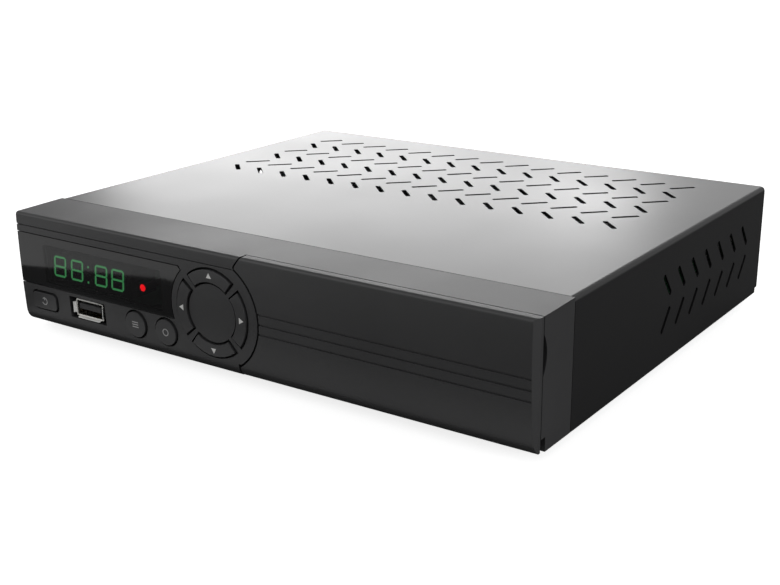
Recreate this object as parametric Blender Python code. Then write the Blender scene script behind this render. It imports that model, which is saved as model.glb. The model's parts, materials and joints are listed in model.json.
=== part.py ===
"""Satellite TV receiver: folded metal case, plastic front with a flip-down door, boards and sockets.

All lengths are in metres. Pieces are drawn in the case's own frame: X to the right, Y back from the
front face, Z up from the underside of the floor. One empty carries that frame to its place.
"""
import math

import bmesh
import bpy
from mathutils import Matrix, Vector

# Case
CASE_WIDTH = 0.220
CASE_DEPTH = 0.187
CASE_HEIGHT = 0.0432
SHEET = 0.0008
SEAM = 0.0003
BEND_RADIUS = 0.0018
OVERRUN = 0.002
FOOT_HEIGHT = 0.0030
FOOT_RADIUS = 0.0070
FOOT_CHAMFER = 0.0008
FOOT_INSET_X = 0.018
FOOT_FROM_FASCIA = 0.009
FOOT_INSET_REAR = 0.017
FLANGE_HEIGHT = 0.0060
SIDE_FLANGE_HEIGHT = 0.0090
REAR_LIP_HEIGHT = 0.0080
REAR_CORNER_STEP = 0.0020
SOCKET_REACH = 0.0090

# Vents
SLOT_LENGTH = 0.0105
SLOT_WIDTH = 0.0020
SLOT_PITCH = 0.01236
SLOT_CORNER = 0.0005
VENT_MARGIN = 0.0170
TOP_ROWS = 6
TOP_FIRST_ROW = 0.1015
TOP_ROW_PITCH = 0.0132
TOP_PATTERN_X = -0.0029
SIDE_COLUMNS = 7
SIDE_FIRST_COLUMN = 0.0928
SIDE_ROW_HEIGHTS = (0.0280, 0.0154)
SLANT = math.radians(45)
SIDE_SLANT = math.radians(51)

# Front moulding
FASCIA_DEPTH = 0.0227
WALL = 0.0026
SIDE_WALL = 0.0022
TOP_DROP = 0.0004
TOP_CURVE_WIDTH = 0.0012
TOP_CURVE_HEIGHT = 0.0013
LEAST_CURVE = 0.0003
BOW_RADIUS = 0.480
BOW_CENTRE_Z = 0.0330
BOTTOM_CURVE_BACK = 0.0042
BOTTOM_CURVE_HEIGHT = 0.0052
CURVE_STEPS = 5
ISLAND_FRONT_DEPTH = 0.0090
GROOVE_Z = 0.0382
GROOVE_WIDTH = 0.0004
GROOVE_DEPTH = 0.0005

# Direction pad, whose centre also sets the door's left edge
PAD_FROM_END = 0.0967
PAD_Z = 0.0210
PAD_INNER_RADIUS = 0.0111
PAD_OUTER_RADIUS = 0.0155
PAD_HALF_ANGLE = math.radians(38)
PAD_STEPS = 8

# Door
DOOR_THICKNESS = 0.0036
DOOR_GAP = 0.0004
DOOR_EDGE_GAP = 0.0007
DOOR_EDGE_RADIUS = 0.0199
DOOR_EDGE_FROM_END = 0.1070
DOOR_EDGE_TOP_FROM_END = 0.1100
DOOR_EDGE_TOP_Z = 0.0393
DOOR_EDGE_STEPS = 16
DOOR_BOTTOM = 0.0007
DOOR_RIM = 0.0026
DOOR_POCKET_DEPTH = 0.0016
DOOR_POCKET_LOW = 0.0065
DOOR_POCKET_TOP_RIM = 0.0050
DOOR_BEVEL_X = 0.0016
DOOR_BEVEL_Y = 0.0022
DOOR_GROOVE_HEIGHTS = (0.0175, 0.0210, 0.0245)
DOOR_GROOVE_WIDTH = 0.0006
DOOR_GROOVE_DEPTH = 0.0005
RECESS_WALL = 0.0022
HINGE_Z = 0.0030
HINGE_STATION_INSET = 0.0120
EAR_RADIUS = 0.0011
EAR_WIDTH = 0.0025
LUG_WIDTH = 0.0020
PIN_RADIUS = 0.0005
PIN_CLEARANCE = 0.00006
CHANNEL_DEPTH = 0.0066
CHANNEL_HEIGHT = 0.0048
FINGER_NOTCH_LOW = 0.0244
FINGER_NOTCH_HIGH = 0.0373
FINGER_NOTCH_DEPTH = 0.0020
FINGER_NOTCH_WIDTH = 0.0018

# Display
WINDOW_LOW = 0.0158
WINDOW_HIGH = 0.0353
WINDOW_PAD_RADIUS = 0.0188
WINDOW_CORNER = 0.0012
LENS_THICKNESS = 0.0014
APERTURE_LEFT_FROM_END = 0.0135
APERTURE_RIGHT_FROM_END = 0.0735
APERTURE_LOW = 0.0172
APERTURE_HIGH = 0.0322
DIGITS_FROM_END = 0.0353
DIGITS_Z = 0.0237
DISPLAY_WIDTH = 0.0420
DISPLAY_HEIGHT = 0.0115
LAMP_FROM_END = 0.0619
LAMP_Z = 0.0232
LAMP_RADIUS = 0.0013
SENSOR_FROM_END = 0.0702
SENSOR_WIDTH = 0.0040
SENSOR_HEIGHT = 0.0050
SENSOR_DEPTH = 0.0045

# Buttons
BUTTON_CLEARANCE = 0.0007
BUTTON_PROUD = 0.0006
BUTTON_TRAVEL = 0.0005
BUTTON_FLANGE_Y = 0.0045
BUTTON_FLANGE = 0.0011
BUTTON_FLANGE_THICKNESS = 0.0010
PLUNGER_RADIUS = 0.0015
POWER_FROM_END = 0.0118
POWER_Z = 0.00965
POWER_WIDTH = 0.0126
POWER_HEIGHT = 0.0063
POWER_CORNER = 0.0015
MENU_FROM_END = 0.0596
OK_FROM_END = 0.0744
ROUND_Z = 0.0098
ROUND_RADIUS = 0.0048

# Front board
FRONT_BOARD_Y = 0.0148
BOARD_THICKNESS = 0.0016
FRONT_BOARD_LEFT_FROM_END = 0.0060
FRONT_BOARD_RIGHT_FROM_END = 0.1180
FRONT_BOARD_LOW = 0.0040
FRONT_BOARD_HIGH = 0.0385
SWITCH_SIZE = 0.0060
SWITCH_BODY = 0.0035
SWITCH_PLUNGER = 0.0013
SWITCH_PLUNGER_RADIUS = 0.00175
FRONT_POSTS_FROM_END = (0.0110, 0.0770)
FRONT_POST_Z = 0.0352
FRONT_POST_RADIUS = 0.0022

# Front USB socket
USB_FROM_END = 0.0346
USB_Z = 0.0101
USB_HOLE_WIDTH = 0.0186
USB_HOLE_HEIGHT = 0.0083
USB_FLARE_WIDTH = 0.0156
USB_FLARE_HEIGHT = 0.0075
USB_FLARE_DEPTH = 0.0008
USB_SHELL_WIDTH = 0.0140
USB_SHELL_HEIGHT = 0.0064
USB_SETBACK = 0.0001
USB_METAL = 0.0005
USB_TONGUE_WIDTH = 0.0110
USB_TONGUE_HEIGHT = 0.0018
USB_TONGUE_SETBACK = 0.0012
USB_TONGUE_RISE = 0.0007
USB_BACK = 0.0012

# Main board and its sockets
BOARD_HEIGHT = 0.0070
MAIN_BOARD_FROM_FASCIA = 0.0030
BOARD_EDGE_ROOM = 0.0010
BOARD_REAR_ROOM = 0.0021
POST_INSET = 0.0050
POST_RADIUS = 0.0026
POST_HOLE_RADIUS = 0.0015
MAIN_REAR_POSTS = 0.0470
MAIN_FRONT_POSTS = 0.1190
CHIP_FROM_BOARD_EDGE = 0.0600
CHIP_FROM_REAR = 0.0820
CHIP_SIZE = 0.0240
CHIP_HEIGHT = 0.0015
HEATSINK_SIZE = 0.0320
HEATSINK_HEIGHT = 0.0120
HEATSINK_BASE = 0.0025
FIN_COUNT = 7
FIN_THICKNESS = 0.0016
TUNER_HEIGHT = 0.0130
TUNER_DEPTH = 0.0345
SATELLITE_WIDTH = 0.0350
SATELLITE_PITCH = 0.0180
TERRESTRIAL_WIDTH = 0.0320
TERRESTRIAL_PITCH = 0.0160
BARREL_RADIUS = 0.00475
BARREL_BORE = 0.0012
BARREL_BORE_DEPTH = 0.0080
NUT_RADIUS = 0.0065
NUT_THICKNESS = 0.0020
NUT_SIDES = 6
RING_BORE = 0.0040
RING_PIN_RADIUS = 0.00115
RING_DEPTH = 0.0085
AV_WIDTH = 0.0220
AV_HEIGHT = 0.0240
AV_DEPTH = 0.0150
AV_PITCH = 0.0110
AV_RADIUS = 0.00415
AV_BORE = 0.0016
AV_REACH = 0.0085
HDMI_WIDTH = 0.0152
HDMI_HEIGHT = 0.0062
HDMI_DEPTH = 0.0120
HDMI_METAL = 0.0005
HDMI_TONGUE_HEIGHT = 0.0012
HDMI_TONGUE_SIDE = 0.0015
ETHERNET_WIDTH = 0.0160
ETHERNET_HEIGHT = 0.0135
ETHERNET_DEPTH = 0.0200
ETHERNET_OPENING_WIDTH = 0.0118
ETHERNET_OPENING_HEIGHT = 0.0084
ETHERNET_OPENING_DEPTH = 0.0125
ETHERNET_LATCH_WIDTH = 0.0060
ETHERNET_LATCH_HEIGHT = 0.0020
ETHERNET_RISE = 0.0008

# Module cage and card reader behind the door
SLOT_FROM_END = 0.0355
MODULE_Z = 0.0230
MODULE_WIDTH = 0.0572
MODULE_HEIGHT = 0.0070
MODULE_METAL = 0.0012
MODULE_DEPTH = 0.0550
MODULE_BACK = 0.0040
LEG_WIDTH = 0.0018
LEG_LENGTH = 0.0040
LEG_YS = (0.0400, 0.0560)
CARD_WIDTH = 0.0546
CARD_OPENING = 0.0014
CARD_BODY_WIDTH = 0.0572
CARD_BODY_HEIGHT = 0.0037
CARD_BODY_DEPTH = 0.0520
CARD_DEPTH = 0.0480
CARD_MOUTH_HEIGHT = 0.0030
MOUTH_MARGIN = 0.0002

# Power supply
POWER_BOARD_LENGTH = 0.1230
POWER_REAR_POST = 0.0250
TRANSFORMER_FROM_EDGE = 0.0200
TRANSFORMER_FROM_REAR = 0.0670
TRANSFORMER_CORE = (0.0280, 0.0120, 0.0200)
TRANSFORMER_WINDING = (0.0170, 0.0240, 0.0150)
CAPACITOR_FROM_EDGE = 0.0160
CAPACITOR_FROM_REAR = 0.0970
CAPACITOR_RADIUS = 0.0080
CAPACITOR_HEIGHT = 0.0260
CAPACITOR_RIM = 0.0010
RECTIFIER_FROM_EDGE = 0.0050
RECTIFIER_FROM_REAR = 0.0570
RECTIFIER_LENGTH = 0.0300
RECTIFIER_HEIGHT = 0.0220
RECTIFIER_THICKNESS = 0.0020
RECTIFIER_FIN = 0.0060
RECTIFIER_FINS = 3
INLET_WIDTH = 0.0220
INLET_HEIGHT = 0.0115
INLET_DEPTH = 0.0190
INLET_REACH = 0.0015
INLET_MOUTH_WIDTH = 0.0156
INLET_MOUTH_HEIGHT = 0.0080
INLET_MOUTH_DEPTH = 0.0120
INLET_CORNER_SHARE = 0.49
INLET_PIN_SPACING = 0.0086
INLET_PIN_RADIUS = 0.0012
INLET_PIN_LENGTH = 0.0100
ROCKER_HOUSING_WIDTH = 0.0204
ROCKER_HOUSING_HEIGHT = 0.0134
ROCKER_HOUSING_DEPTH = 0.0170
ROCKER_HOUSING_REACH = 0.0010
ROCKER_WALL = 0.0014
ROCKER_PIVOT_DEPTH = 0.0050
ROCKER_HALF_WIDTH = 0.0074
ROCKER_END_RISE = 0.0050
ROCKER_WAIST_RISE = 0.0036
ROCKER_BACK = 0.0010
ROCKER_AXLE_RADIUS = 0.0010
ROCKER_AXLE_REACH = 0.0010
ROCKER_WELL = 0.0100
ROCKER_TILT = math.radians(10)

# Leads and screws
RIBBON_FROM_END = 0.0900
RIBBON_WIDTH = 0.0120
RIBBON_THICKNESS = 0.0008
RIBBON_TOP = 0.0200
RIBBON_REACH = 0.0160
RIBBON_RUN = 0.0050
LEAD_FROM_REAR = 0.0390
LEAD_WIDTH = 0.0080
LEAD_THICKNESS = 0.0012
LEAD_RISE = 0.0060
LEAD_INSET = 0.0040
SCREW_HEAD_RADIUS = 0.0027
SCREW_HEAD = 0.0016
SCREW_RADIUS = 0.0012
SCREW_LENGTH = 0.0046
SCREW_CROSS = 0.0030
SCREW_CROSS_WIDTH = 0.0006
SCREW_CROSS_DEPTH = 0.0007
COVER_SCREW_INSET = 0.0150
SCREW_HOLE_RADIUS = 0.0016

ROUND_SIDES = 20
SMALL_SIDES = 16

# Places that several pieces share
HALF_WIDTH = CASE_WIDTH / 2
LEFT_END = -HALF_WIDTH
PAD_X = LEFT_END + PAD_FROM_END
DOOR_EDGE_X = LEFT_END + DOOR_EDGE_FROM_END
DOOR_EDGE_TOP_X = LEFT_END + DOOR_EDGE_TOP_FROM_END
APERTURE_LEFT = LEFT_END + APERTURE_LEFT_FROM_END
APERTURE_RIGHT = LEFT_END + APERTURE_RIGHT_FROM_END
DIGITS_X = LEFT_END + DIGITS_FROM_END
LAMP_X = LEFT_END + LAMP_FROM_END
SENSOR_X = LEFT_END + SENSOR_FROM_END
POWER_X = LEFT_END + POWER_FROM_END
MENU_X = LEFT_END + MENU_FROM_END
OK_X = LEFT_END + OK_FROM_END
FRONT_BOARD_LEFT = LEFT_END + FRONT_BOARD_LEFT_FROM_END
FRONT_BOARD_RIGHT = LEFT_END + FRONT_BOARD_RIGHT_FROM_END
USB_X = LEFT_END + USB_FROM_END
FRONT_POST_XS = [LEFT_END + inset for inset in FRONT_POSTS_FROM_END]
RIBBON_X = (LEFT_END + RIBBON_FROM_END, LEFT_END + RIBBON_FROM_END + RIBBON_WIDTH)
SLOT_CENTRE_X = HALF_WIDTH - SLOT_FROM_END
COVER_SCREW_XS = (COVER_SCREW_INSET - HALF_WIDTH, 0.0, HALF_WIDTH - COVER_SCREW_INSET)
TOP_COLUMNS = int((CASE_WIDTH - 2 * VENT_MARGIN) / SLOT_PITCH)
COVER_FRONT = FASCIA_DEPTH + SEAM
REAR_PANEL_BACK = CASE_DEPTH - SHEET - SEAM
REAR_PANEL_FRONT = REAR_PANEL_BACK - SHEET
SOCKET_BACK = REAR_PANEL_FRONT - SEAM
REACH_END = CASE_DEPTH + SOCKET_REACH
COVER_INSIDE = HALF_WIDTH - SHEET
TRAY_HALF = COVER_INSIDE - SEAM
BOARD_TOP = BOARD_HEIGHT + BOARD_THICKNESS
ON_BOARD = BOARD_TOP + SEAM
HINGE_Y = DOOR_THICKNESS + DOOR_GAP
RECESS_BACK = HINGE_Y + RECESS_WALL
LIP_MIDDLE_Z = CASE_HEIGHT - SHEET - REAR_LIP_HEIGHT / 2
SLOT_FRONT_Y = RECESS_BACK + SEAM
CARD_Z = ON_BOARD + CARD_BODY_HEIGHT / 2
TUNER_SOCKET_Z = ON_BOARD + TUNER_HEIGHT / 2
INLET_Z = ON_BOARD + INLET_HEIGHT / 2
ROCKER_Z = ON_BOARD + ROCKER_HOUSING_HEIGHT / 2
ROCKER_PIVOT_Y = CASE_DEPTH - ROCKER_PIVOT_DEPTH
SWITCH_GAP = BUTTON_TRAVEL + SEAM
CARD_MOUTH_WIDTH = CARD_WIDTH + 2 * MOUTH_MARGIN

# The rear row, from left to right, with even gaps between the tray's sides
INSIDE = TRAY_HALF - SHEET
REAR_WIDTHS = (
    INLET_WIDTH,
    ROCKER_HOUSING_WIDTH,
    ETHERNET_WIDTH,
    HDMI_WIDTH,
    AV_WIDTH,
    TERRESTRIAL_WIDTH,
    SATELLITE_WIDTH,
)
REAR_GAP = (2 * INSIDE - sum(REAR_WIDTHS)) / (len(REAR_WIDTHS) + 1)
REAR_ENDS = []
for rear_index, rear_width in enumerate(REAR_WIDTHS):
    rear_left = -INSIDE + (rear_index + 1) * REAR_GAP + sum(REAR_WIDTHS[:rear_index])
    REAR_ENDS.append((rear_left, rear_left + rear_width))
INLET_ENDS, ROCKER_ENDS, ETHERNET_X, HDMI_X, AV_X, TERRESTRIAL_TUNER_X, SATELLITE_TUNER_X = REAR_ENDS
INLET_X = sum(INLET_ENDS) / 2
ROCKER_X = sum(ROCKER_ENDS) / 2
SATELLITE_SOCKET_XS = [sum(SATELLITE_TUNER_X) / 2 + side * SATELLITE_PITCH / 2 for side in (-1, 1)]
TERRESTRIAL_SOCKET_XS = [sum(TERRESTRIAL_TUNER_X) / 2 + side * TERRESTRIAL_PITCH / 2 for side in (-1, 1)]

# The two boards meet between the mains switch and the network socket
BOARD_REAR = REAR_PANEL_FRONT - BOARD_REAR_ROOM
BOARD_SPLIT = ROCKER_ENDS[1] + REAR_GAP / 2
MAIN_BOARD_X = (BOARD_SPLIT + BOARD_EDGE_ROOM, INSIDE - BOARD_EDGE_ROOM)
MAIN_BOARD_Y = (COVER_FRONT + MAIN_BOARD_FROM_FASCIA, BOARD_REAR)
POWER_BOARD_X = (BOARD_EDGE_ROOM - INSIDE, BOARD_SPLIT - BOARD_EDGE_ROOM)
POWER_BOARD_Y = (BOARD_REAR - POWER_BOARD_LENGTH, BOARD_REAR)
MAIN_POST_XS = (MAIN_BOARD_X[0] + POST_INSET, MAIN_BOARD_X[1] - POST_INSET)
MAIN_POST_YS = (CASE_DEPTH - MAIN_FRONT_POSTS, CASE_DEPTH - MAIN_REAR_POSTS)
POWER_POSTS = (
    (POWER_BOARD_X[0] + POST_INSET, POWER_BOARD_Y[0] + POST_INSET),
    (POWER_BOARD_X[1] - POST_INSET, CASE_DEPTH - POWER_REAR_POST),
)
CHIP_CENTRE = (MAIN_BOARD_X[0] + CHIP_FROM_BOARD_EDGE, CASE_DEPTH - CHIP_FROM_REAR)
TRANSFORMER_CENTRE = (POWER_BOARD_X[1] - TRANSFORMER_FROM_EDGE, CASE_DEPTH - TRANSFORMER_FROM_REAR)
CAPACITOR_CENTRE = (POWER_BOARD_X[0] + CAPACITOR_FROM_EDGE, CASE_DEPTH - CAPACITOR_FROM_REAR)
RECTIFIER_CENTRE = (POWER_BOARD_X[0] + RECTIFIER_FROM_EDGE, CASE_DEPTH - RECTIFIER_FROM_REAR)
LEAD_Y = (CASE_DEPTH - LEAD_FROM_REAR, CASE_DEPTH - LEAD_FROM_REAR + LEAD_WIDTH)

PAINTS = {}
CASE_FRAME = None


def clear_scene():
    for thing in list(bpy.data.objects):
        bpy.data.objects.remove(thing)


def paint(name, colour, roughness, metallic=0.0):
    """One Principled material per kind of finish."""
    if name not in PAINTS:
        made = bpy.data.materials.new(name)
        made.use_nodes = True
        made.diffuse_color = (*colour, 1)
        shader = made.node_tree.nodes["Principled BSDF"]
        shader.inputs["Base Color"].default_value = (*colour, 1)
        shader.inputs["Roughness"].default_value = roughness
        shader.inputs["Metallic"].default_value = metallic
        PAINTS[name] = made
    return PAINTS[name]


def case_paint():
    return paint("satin_black_metal", (0.030, 0.030, 0.031), 0.35, 0.4)


def front_paint():
    return paint("black_plastic", (0.024, 0.024, 0.025), 0.40)


def button_paint():
    return paint("button_black", (0.028, 0.028, 0.029), 0.45)


def lens_paint():
    return paint("smoked_lens", (0.010, 0.010, 0.011), 0.08)


def tin_paint():
    return paint("tinned_steel", (0.62, 0.62, 0.60), 0.30, 1.0)


def zinc_paint():
    return paint("zinc_steel", (0.45, 0.46, 0.47), 0.40, 1.0)


def board_paint():
    return paint("green_board", (0.02, 0.16, 0.06), 0.50)


def dark_plastic_paint():
    return paint("moulded_black", (0.02, 0.02, 0.02), 0.55)


def aluminium_paint():
    return paint("aluminium", (0.75, 0.76, 0.78), 0.30, 1.0)


def white_plastic_paint():
    return paint("white_plastic", (0.80, 0.80, 0.78), 0.45)


def rubber_paint():
    return paint("rubber", (0.03, 0.03, 0.03), 0.85)


def draft(bm):
    """A new object from a bmesh, which is used up."""
    bmesh.ops.recalc_face_normals(bm, faces=bm.faces)
    mesh = bpy.data.meshes.new("draft")
    bm.to_mesh(mesh)
    bm.free()
    made = bpy.data.objects.new("draft", mesh)
    bpy.context.scene.collection.objects.link(made)
    return made


def prism(axis, outline, low, high):
    """A closed solid: an outline in the plane across the axis, drawn from low to high along it.

    The outline's two numbers are (y, z) for X, (x, z) for Y and (x, y) for Z.
    """
    spots = {"X": (1, 2, 0), "Y": (0, 2, 1), "Z": (0, 1, 2)}[axis]
    bm = bmesh.new()
    ring = []
    for a, b in outline:
        spot = [0.0, 0.0, 0.0]
        spot[spots[0]] = a
        spot[spots[1]] = b
        spot[spots[2]] = low
        ring.append(bm.verts.new(spot))
    cap = bm.faces.new(ring)
    risen = bmesh.ops.extrude_face_region(bm, geom=[cap])["geom"]
    step = Vector((0.0, 0.0, 0.0))
    step[spots[2]] = high - low
    bmesh.ops.translate(bm, verts=[g for g in risen if isinstance(g, bmesh.types.BMVert)], vec=step)
    return draft(bm)


def block(x, y, z):
    """A box between the two ends given for each axis."""
    return prism("Z", [(x[0], y[0]), (x[1], y[0]), (x[1], y[1]), (x[0], y[1])], z[0], z[1])


def centred_block(centre, size):
    """A box given by its centre and its size."""
    ends = [(c - s / 2, c + s / 2) for c, s in zip(centre, size)]
    return block(*ends)


def arc(centre, radii, start, stop, steps):
    """Points on an ellipse's arc, both ends included."""
    spots = []
    for i in range(steps + 1):
        turn = start + (stop - start) * i / steps
        spots.append((centre[0] + radii[0] * math.cos(turn), centre[1] + radii[1] * math.sin(turn)))
    return spots


def ring_outline(centre, radius, sides):
    return arc(centre, (radius, radius), 0.0, math.tau, sides)[:-1]


def rod(axis, centre, radius, low, high, sides=ROUND_SIDES):
    return prism(axis, ring_outline(centre, radius, sides), low, high)


def turned(centre, profile, sides=ROUND_SIDES):
    """A solid turned about Z, from the (radius, z) of each of its rings, bottom to top."""
    bm = bmesh.new()
    rings = []
    for radius, z in profile:
        rings.append([bm.verts.new((x, y, z)) for x, y in ring_outline(centre, radius, sides)])
    for low, high in zip(rings, rings[1:]):
        for i in range(sides):
            after = (i + 1) % sides
            bm.faces.new((low[i], low[after], high[after], high[i]))
    bm.faces.new(rings[0][::-1])
    bm.faces.new(rings[-1])
    return draft(bm)


def rounded_rectangle(centre, size, corner, steps=3):
    """A rectangle with round corners, anticlockwise."""
    spots = []
    for i, (sx, sy) in enumerate(((1, 1), (-1, 1), (-1, -1), (1, -1))):
        middle = (centre[0] + sx * (size[0] / 2 - corner), centre[1] + sy * (size[1] / 2 - corner))
        start = i * math.pi / 2
        spots += arc(middle, (corner, corner), start, start + math.pi / 2, steps)
    return spots


def rotated(outline, angle, centre):
    """An outline drawn about zero, turned by an angle and moved to its centre."""
    spots = []
    for a, b in outline:
        along = a * math.cos(angle) - b * math.sin(angle)
        up = a * math.sin(angle) + b * math.cos(angle)
        spots.append((centre[0] + along, centre[1] + up))
    return spots


def combine(body, tool, operation):
    """Cuts, joins or intersects body with tool, which is used up."""
    modifier = body.modifiers.new("combine", "BOOLEAN")
    modifier.operation = operation
    modifier.solver = "EXACT"
    modifier.object = tool
    graph = bpy.context.evaluated_depsgraph_get()
    mesh = bpy.data.meshes.new_from_object(body.evaluated_get(graph))
    body.modifiers.clear()
    body.data = mesh
    bpy.data.objects.remove(tool)
    return body


def cut(body, *tools):
    for tool in tools:
        combine(body, tool, "DIFFERENCE")
    return body


def join(body, *tools):
    for tool in tools:
        combine(body, tool, "UNION")
    return body


def common(body, tool):
    return combine(body, tool, "INTERSECT")


def as_one_tool(tools):
    """Separate, untouching tools gathered in one object, so that one cut takes them all."""
    bm = bmesh.new()
    for tool in tools:
        bm.from_mesh(tool.data)
        bpy.data.objects.remove(tool)
    return draft(bm)


def finish(thing, name, material, origin=(0.0, 0.0, 0.0), smooth=False):
    """Names the piece, gives it its material and puts its origin where it turns or slides."""
    thing.name = name
    mesh = thing.data
    mesh.name = name
    mesh.materials.clear()
    mesh.materials.append(material)
    for face in mesh.polygons:
        face.material_index = 0
    mesh.transform(Matrix.Translation(-Vector(origin)))
    thing.location = origin
    thing.parent = CASE_FRAME
    if smooth:
        mesh.shade_smooth()
        mesh.set_sharp_from_angle(angle=math.radians(40))
    return thing


def face_profile(inset=0.0, back=FASCIA_DEPTH):
    """The front's section (y, z) from its lower back corner round the face to its upper back corner."""
    low_turn = (BOTTOM_CURVE_BACK, BOTTOM_CURVE_HEIGHT)
    low_radii = (BOTTOM_CURVE_BACK - face_bow(BOTTOM_CURVE_HEIGHT) - inset, BOTTOM_CURVE_HEIGHT - inset)
    top_radii = (max(TOP_CURVE_WIDTH - inset, LEAST_CURVE), max(TOP_CURVE_HEIGHT - inset, LEAST_CURVE))
    high_z = CASE_HEIGHT - TOP_DROP - inset - top_radii[1]
    top_turn = (face_bow(high_z) + inset + top_radii[0], high_z)
    spots = [(back, inset)]
    spots += arc(low_turn, low_radii, -math.pi / 2, -math.pi, CURVE_STEPS)
    low_z = low_turn[1]
    for i in range(1, CURVE_STEPS):
        z = low_z + (high_z - low_z) * i / CURVE_STEPS
        spots.append((face_bow(z) + inset, z))
    spots += arc(top_turn, top_radii, math.pi, math.pi / 2, CURVE_STEPS)
    spots.append((back, CASE_HEIGHT - inset))
    return spots


def face_bow(z):
    """How far the face lies behind its foremost line at a height: a very shallow arc."""
    return BOW_RADIUS - math.sqrt(BOW_RADIUS**2 - (z - BOW_CENTRE_Z) ** 2)


def face_solid(inset=0.0, half=HALF_WIDTH, back=FASCIA_DEPTH):
    return prism("X", face_profile(inset, back), -half, half)


def door_edge(offset=0.0):
    """The line (x, z) from top to bottom between the control island and the door, moved right by offset."""
    radius = DOOR_EDGE_RADIUS + offset
    reach = DOOR_EDGE_X + offset - PAD_X
    turn = math.acos(reach / radius)
    top = CASE_HEIGHT + OVERRUN
    slope = (DOOR_EDGE_TOP_X - DOOR_EDGE_X) / (CASE_HEIGHT - DOOR_EDGE_TOP_Z)
    spots = [(DOOR_EDGE_X + offset + slope * (top - DOOR_EDGE_TOP_Z), top)]
    spots.append((DOOR_EDGE_X + offset, DOOR_EDGE_TOP_Z))
    spots += arc((PAD_X, PAD_Z), (radius, radius), turn, -turn, DOOR_EDGE_STEPS)
    spots.append((DOOR_EDGE_X + offset, -OVERRUN))
    return spots


def right_of_edge(offset, right):
    """The whole area right of the door's edge line, up to a given x."""
    edge = door_edge(offset)
    return edge + [(right, edge[-1][1]), (right, edge[0][1])]


def edge_x(z, offset):
    """Where the door's edge line, moved right by offset, stands at a height."""
    radius = DOOR_EDGE_RADIUS + offset
    straight = DOOR_EDGE_X + offset
    rise = abs(z - PAD_Z)
    if rise >= radius:
        return straight
    return max(straight, PAD_X + math.sqrt(radius**2 - rise**2))


def left_of_edge(offset, left):
    edge = door_edge(offset)
    return edge + [(left, edge[-1][1]), (left, edge[0][1])]


def window_outline(grow=0.0):
    """The window's outline (x, z): it runs off the left end, and its right edge bends round the pad."""
    radius = WINDOW_PAD_RADIUS - grow
    right_high = math.sqrt(radius**2 - (WINDOW_HIGH - WINDOW_CORNER - PAD_Z) ** 2)
    low_turn = math.pi - math.asin((WINDOW_LOW - grow - PAD_Z) / radius)
    high_turn = math.pi - math.asin((WINDOW_HIGH - WINDOW_CORNER - PAD_Z) / radius)
    left = -HALF_WIDTH - (OVERRUN if grow else 0.0)
    spots = [(left, WINDOW_HIGH + grow), (left, WINDOW_LOW - grow)]
    spots += arc((PAD_X, PAD_Z), (radius, radius), low_turn, high_turn, PAD_STEPS)
    spots.append((PAD_X - right_high - WINDOW_CORNER, WINDOW_HIGH + grow))
    return spots


def pad_sector(middle, inner, outer, half_angle):
    """One arc-shaped button's outline round the pad's centre."""
    far = arc((PAD_X, PAD_Z), (outer, outer), middle - half_angle, middle + half_angle, PAD_STEPS)
    near = arc((PAD_X, PAD_Z), (inner, inner), middle + half_angle, middle - half_angle, PAD_STEPS)
    return far + near


def button_outlines(grow=0.0):
    """Each button's outline, its middle and its name."""
    made = {
        "power_button": (
            rounded_rectangle(
                (POWER_X, POWER_Z), (POWER_WIDTH + 2 * grow, POWER_HEIGHT + 2 * grow), POWER_CORNER + grow
            ),
            (POWER_X, POWER_Z),
        )
    }
    for name, x in (("menu_button", MENU_X), ("ok_button", OK_X)):
        made[name] = (ring_outline((x, ROUND_Z), ROUND_RADIUS + grow, ROUND_SIDES), (x, ROUND_Z))
    middle_radius = (PAD_INNER_RADIUS + PAD_OUTER_RADIUS) / 2
    for i, name in enumerate(("right_button", "up_button", "left_button", "down_button")):
        angle = i * math.pi / 2
        outline = pad_sector(
            angle, PAD_INNER_RADIUS - grow, PAD_OUTER_RADIUS + grow, PAD_HALF_ANGLE + grow / middle_radius
        )
        made[name] = (
            outline,
            (PAD_X + middle_radius * math.cos(angle), PAD_Z + middle_radius * math.sin(angle)),
        )
    return made


def hinge_stations():
    """The middle of each hinge along X, one near each end of the door."""
    return (DOOR_EDGE_X + HINGE_STATION_INSET, HALF_WIDTH - HINGE_STATION_INSET)


def slot_cutter(axis, middle, slant, low, high):
    """One slanted slot with clipped corners."""
    outline = rounded_rectangle((0.0, 0.0), (SLOT_LENGTH, SLOT_WIDTH), SLOT_CORNER, steps=1)
    return prism(axis, rotated(outline, slant, middle), low, high)


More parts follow.
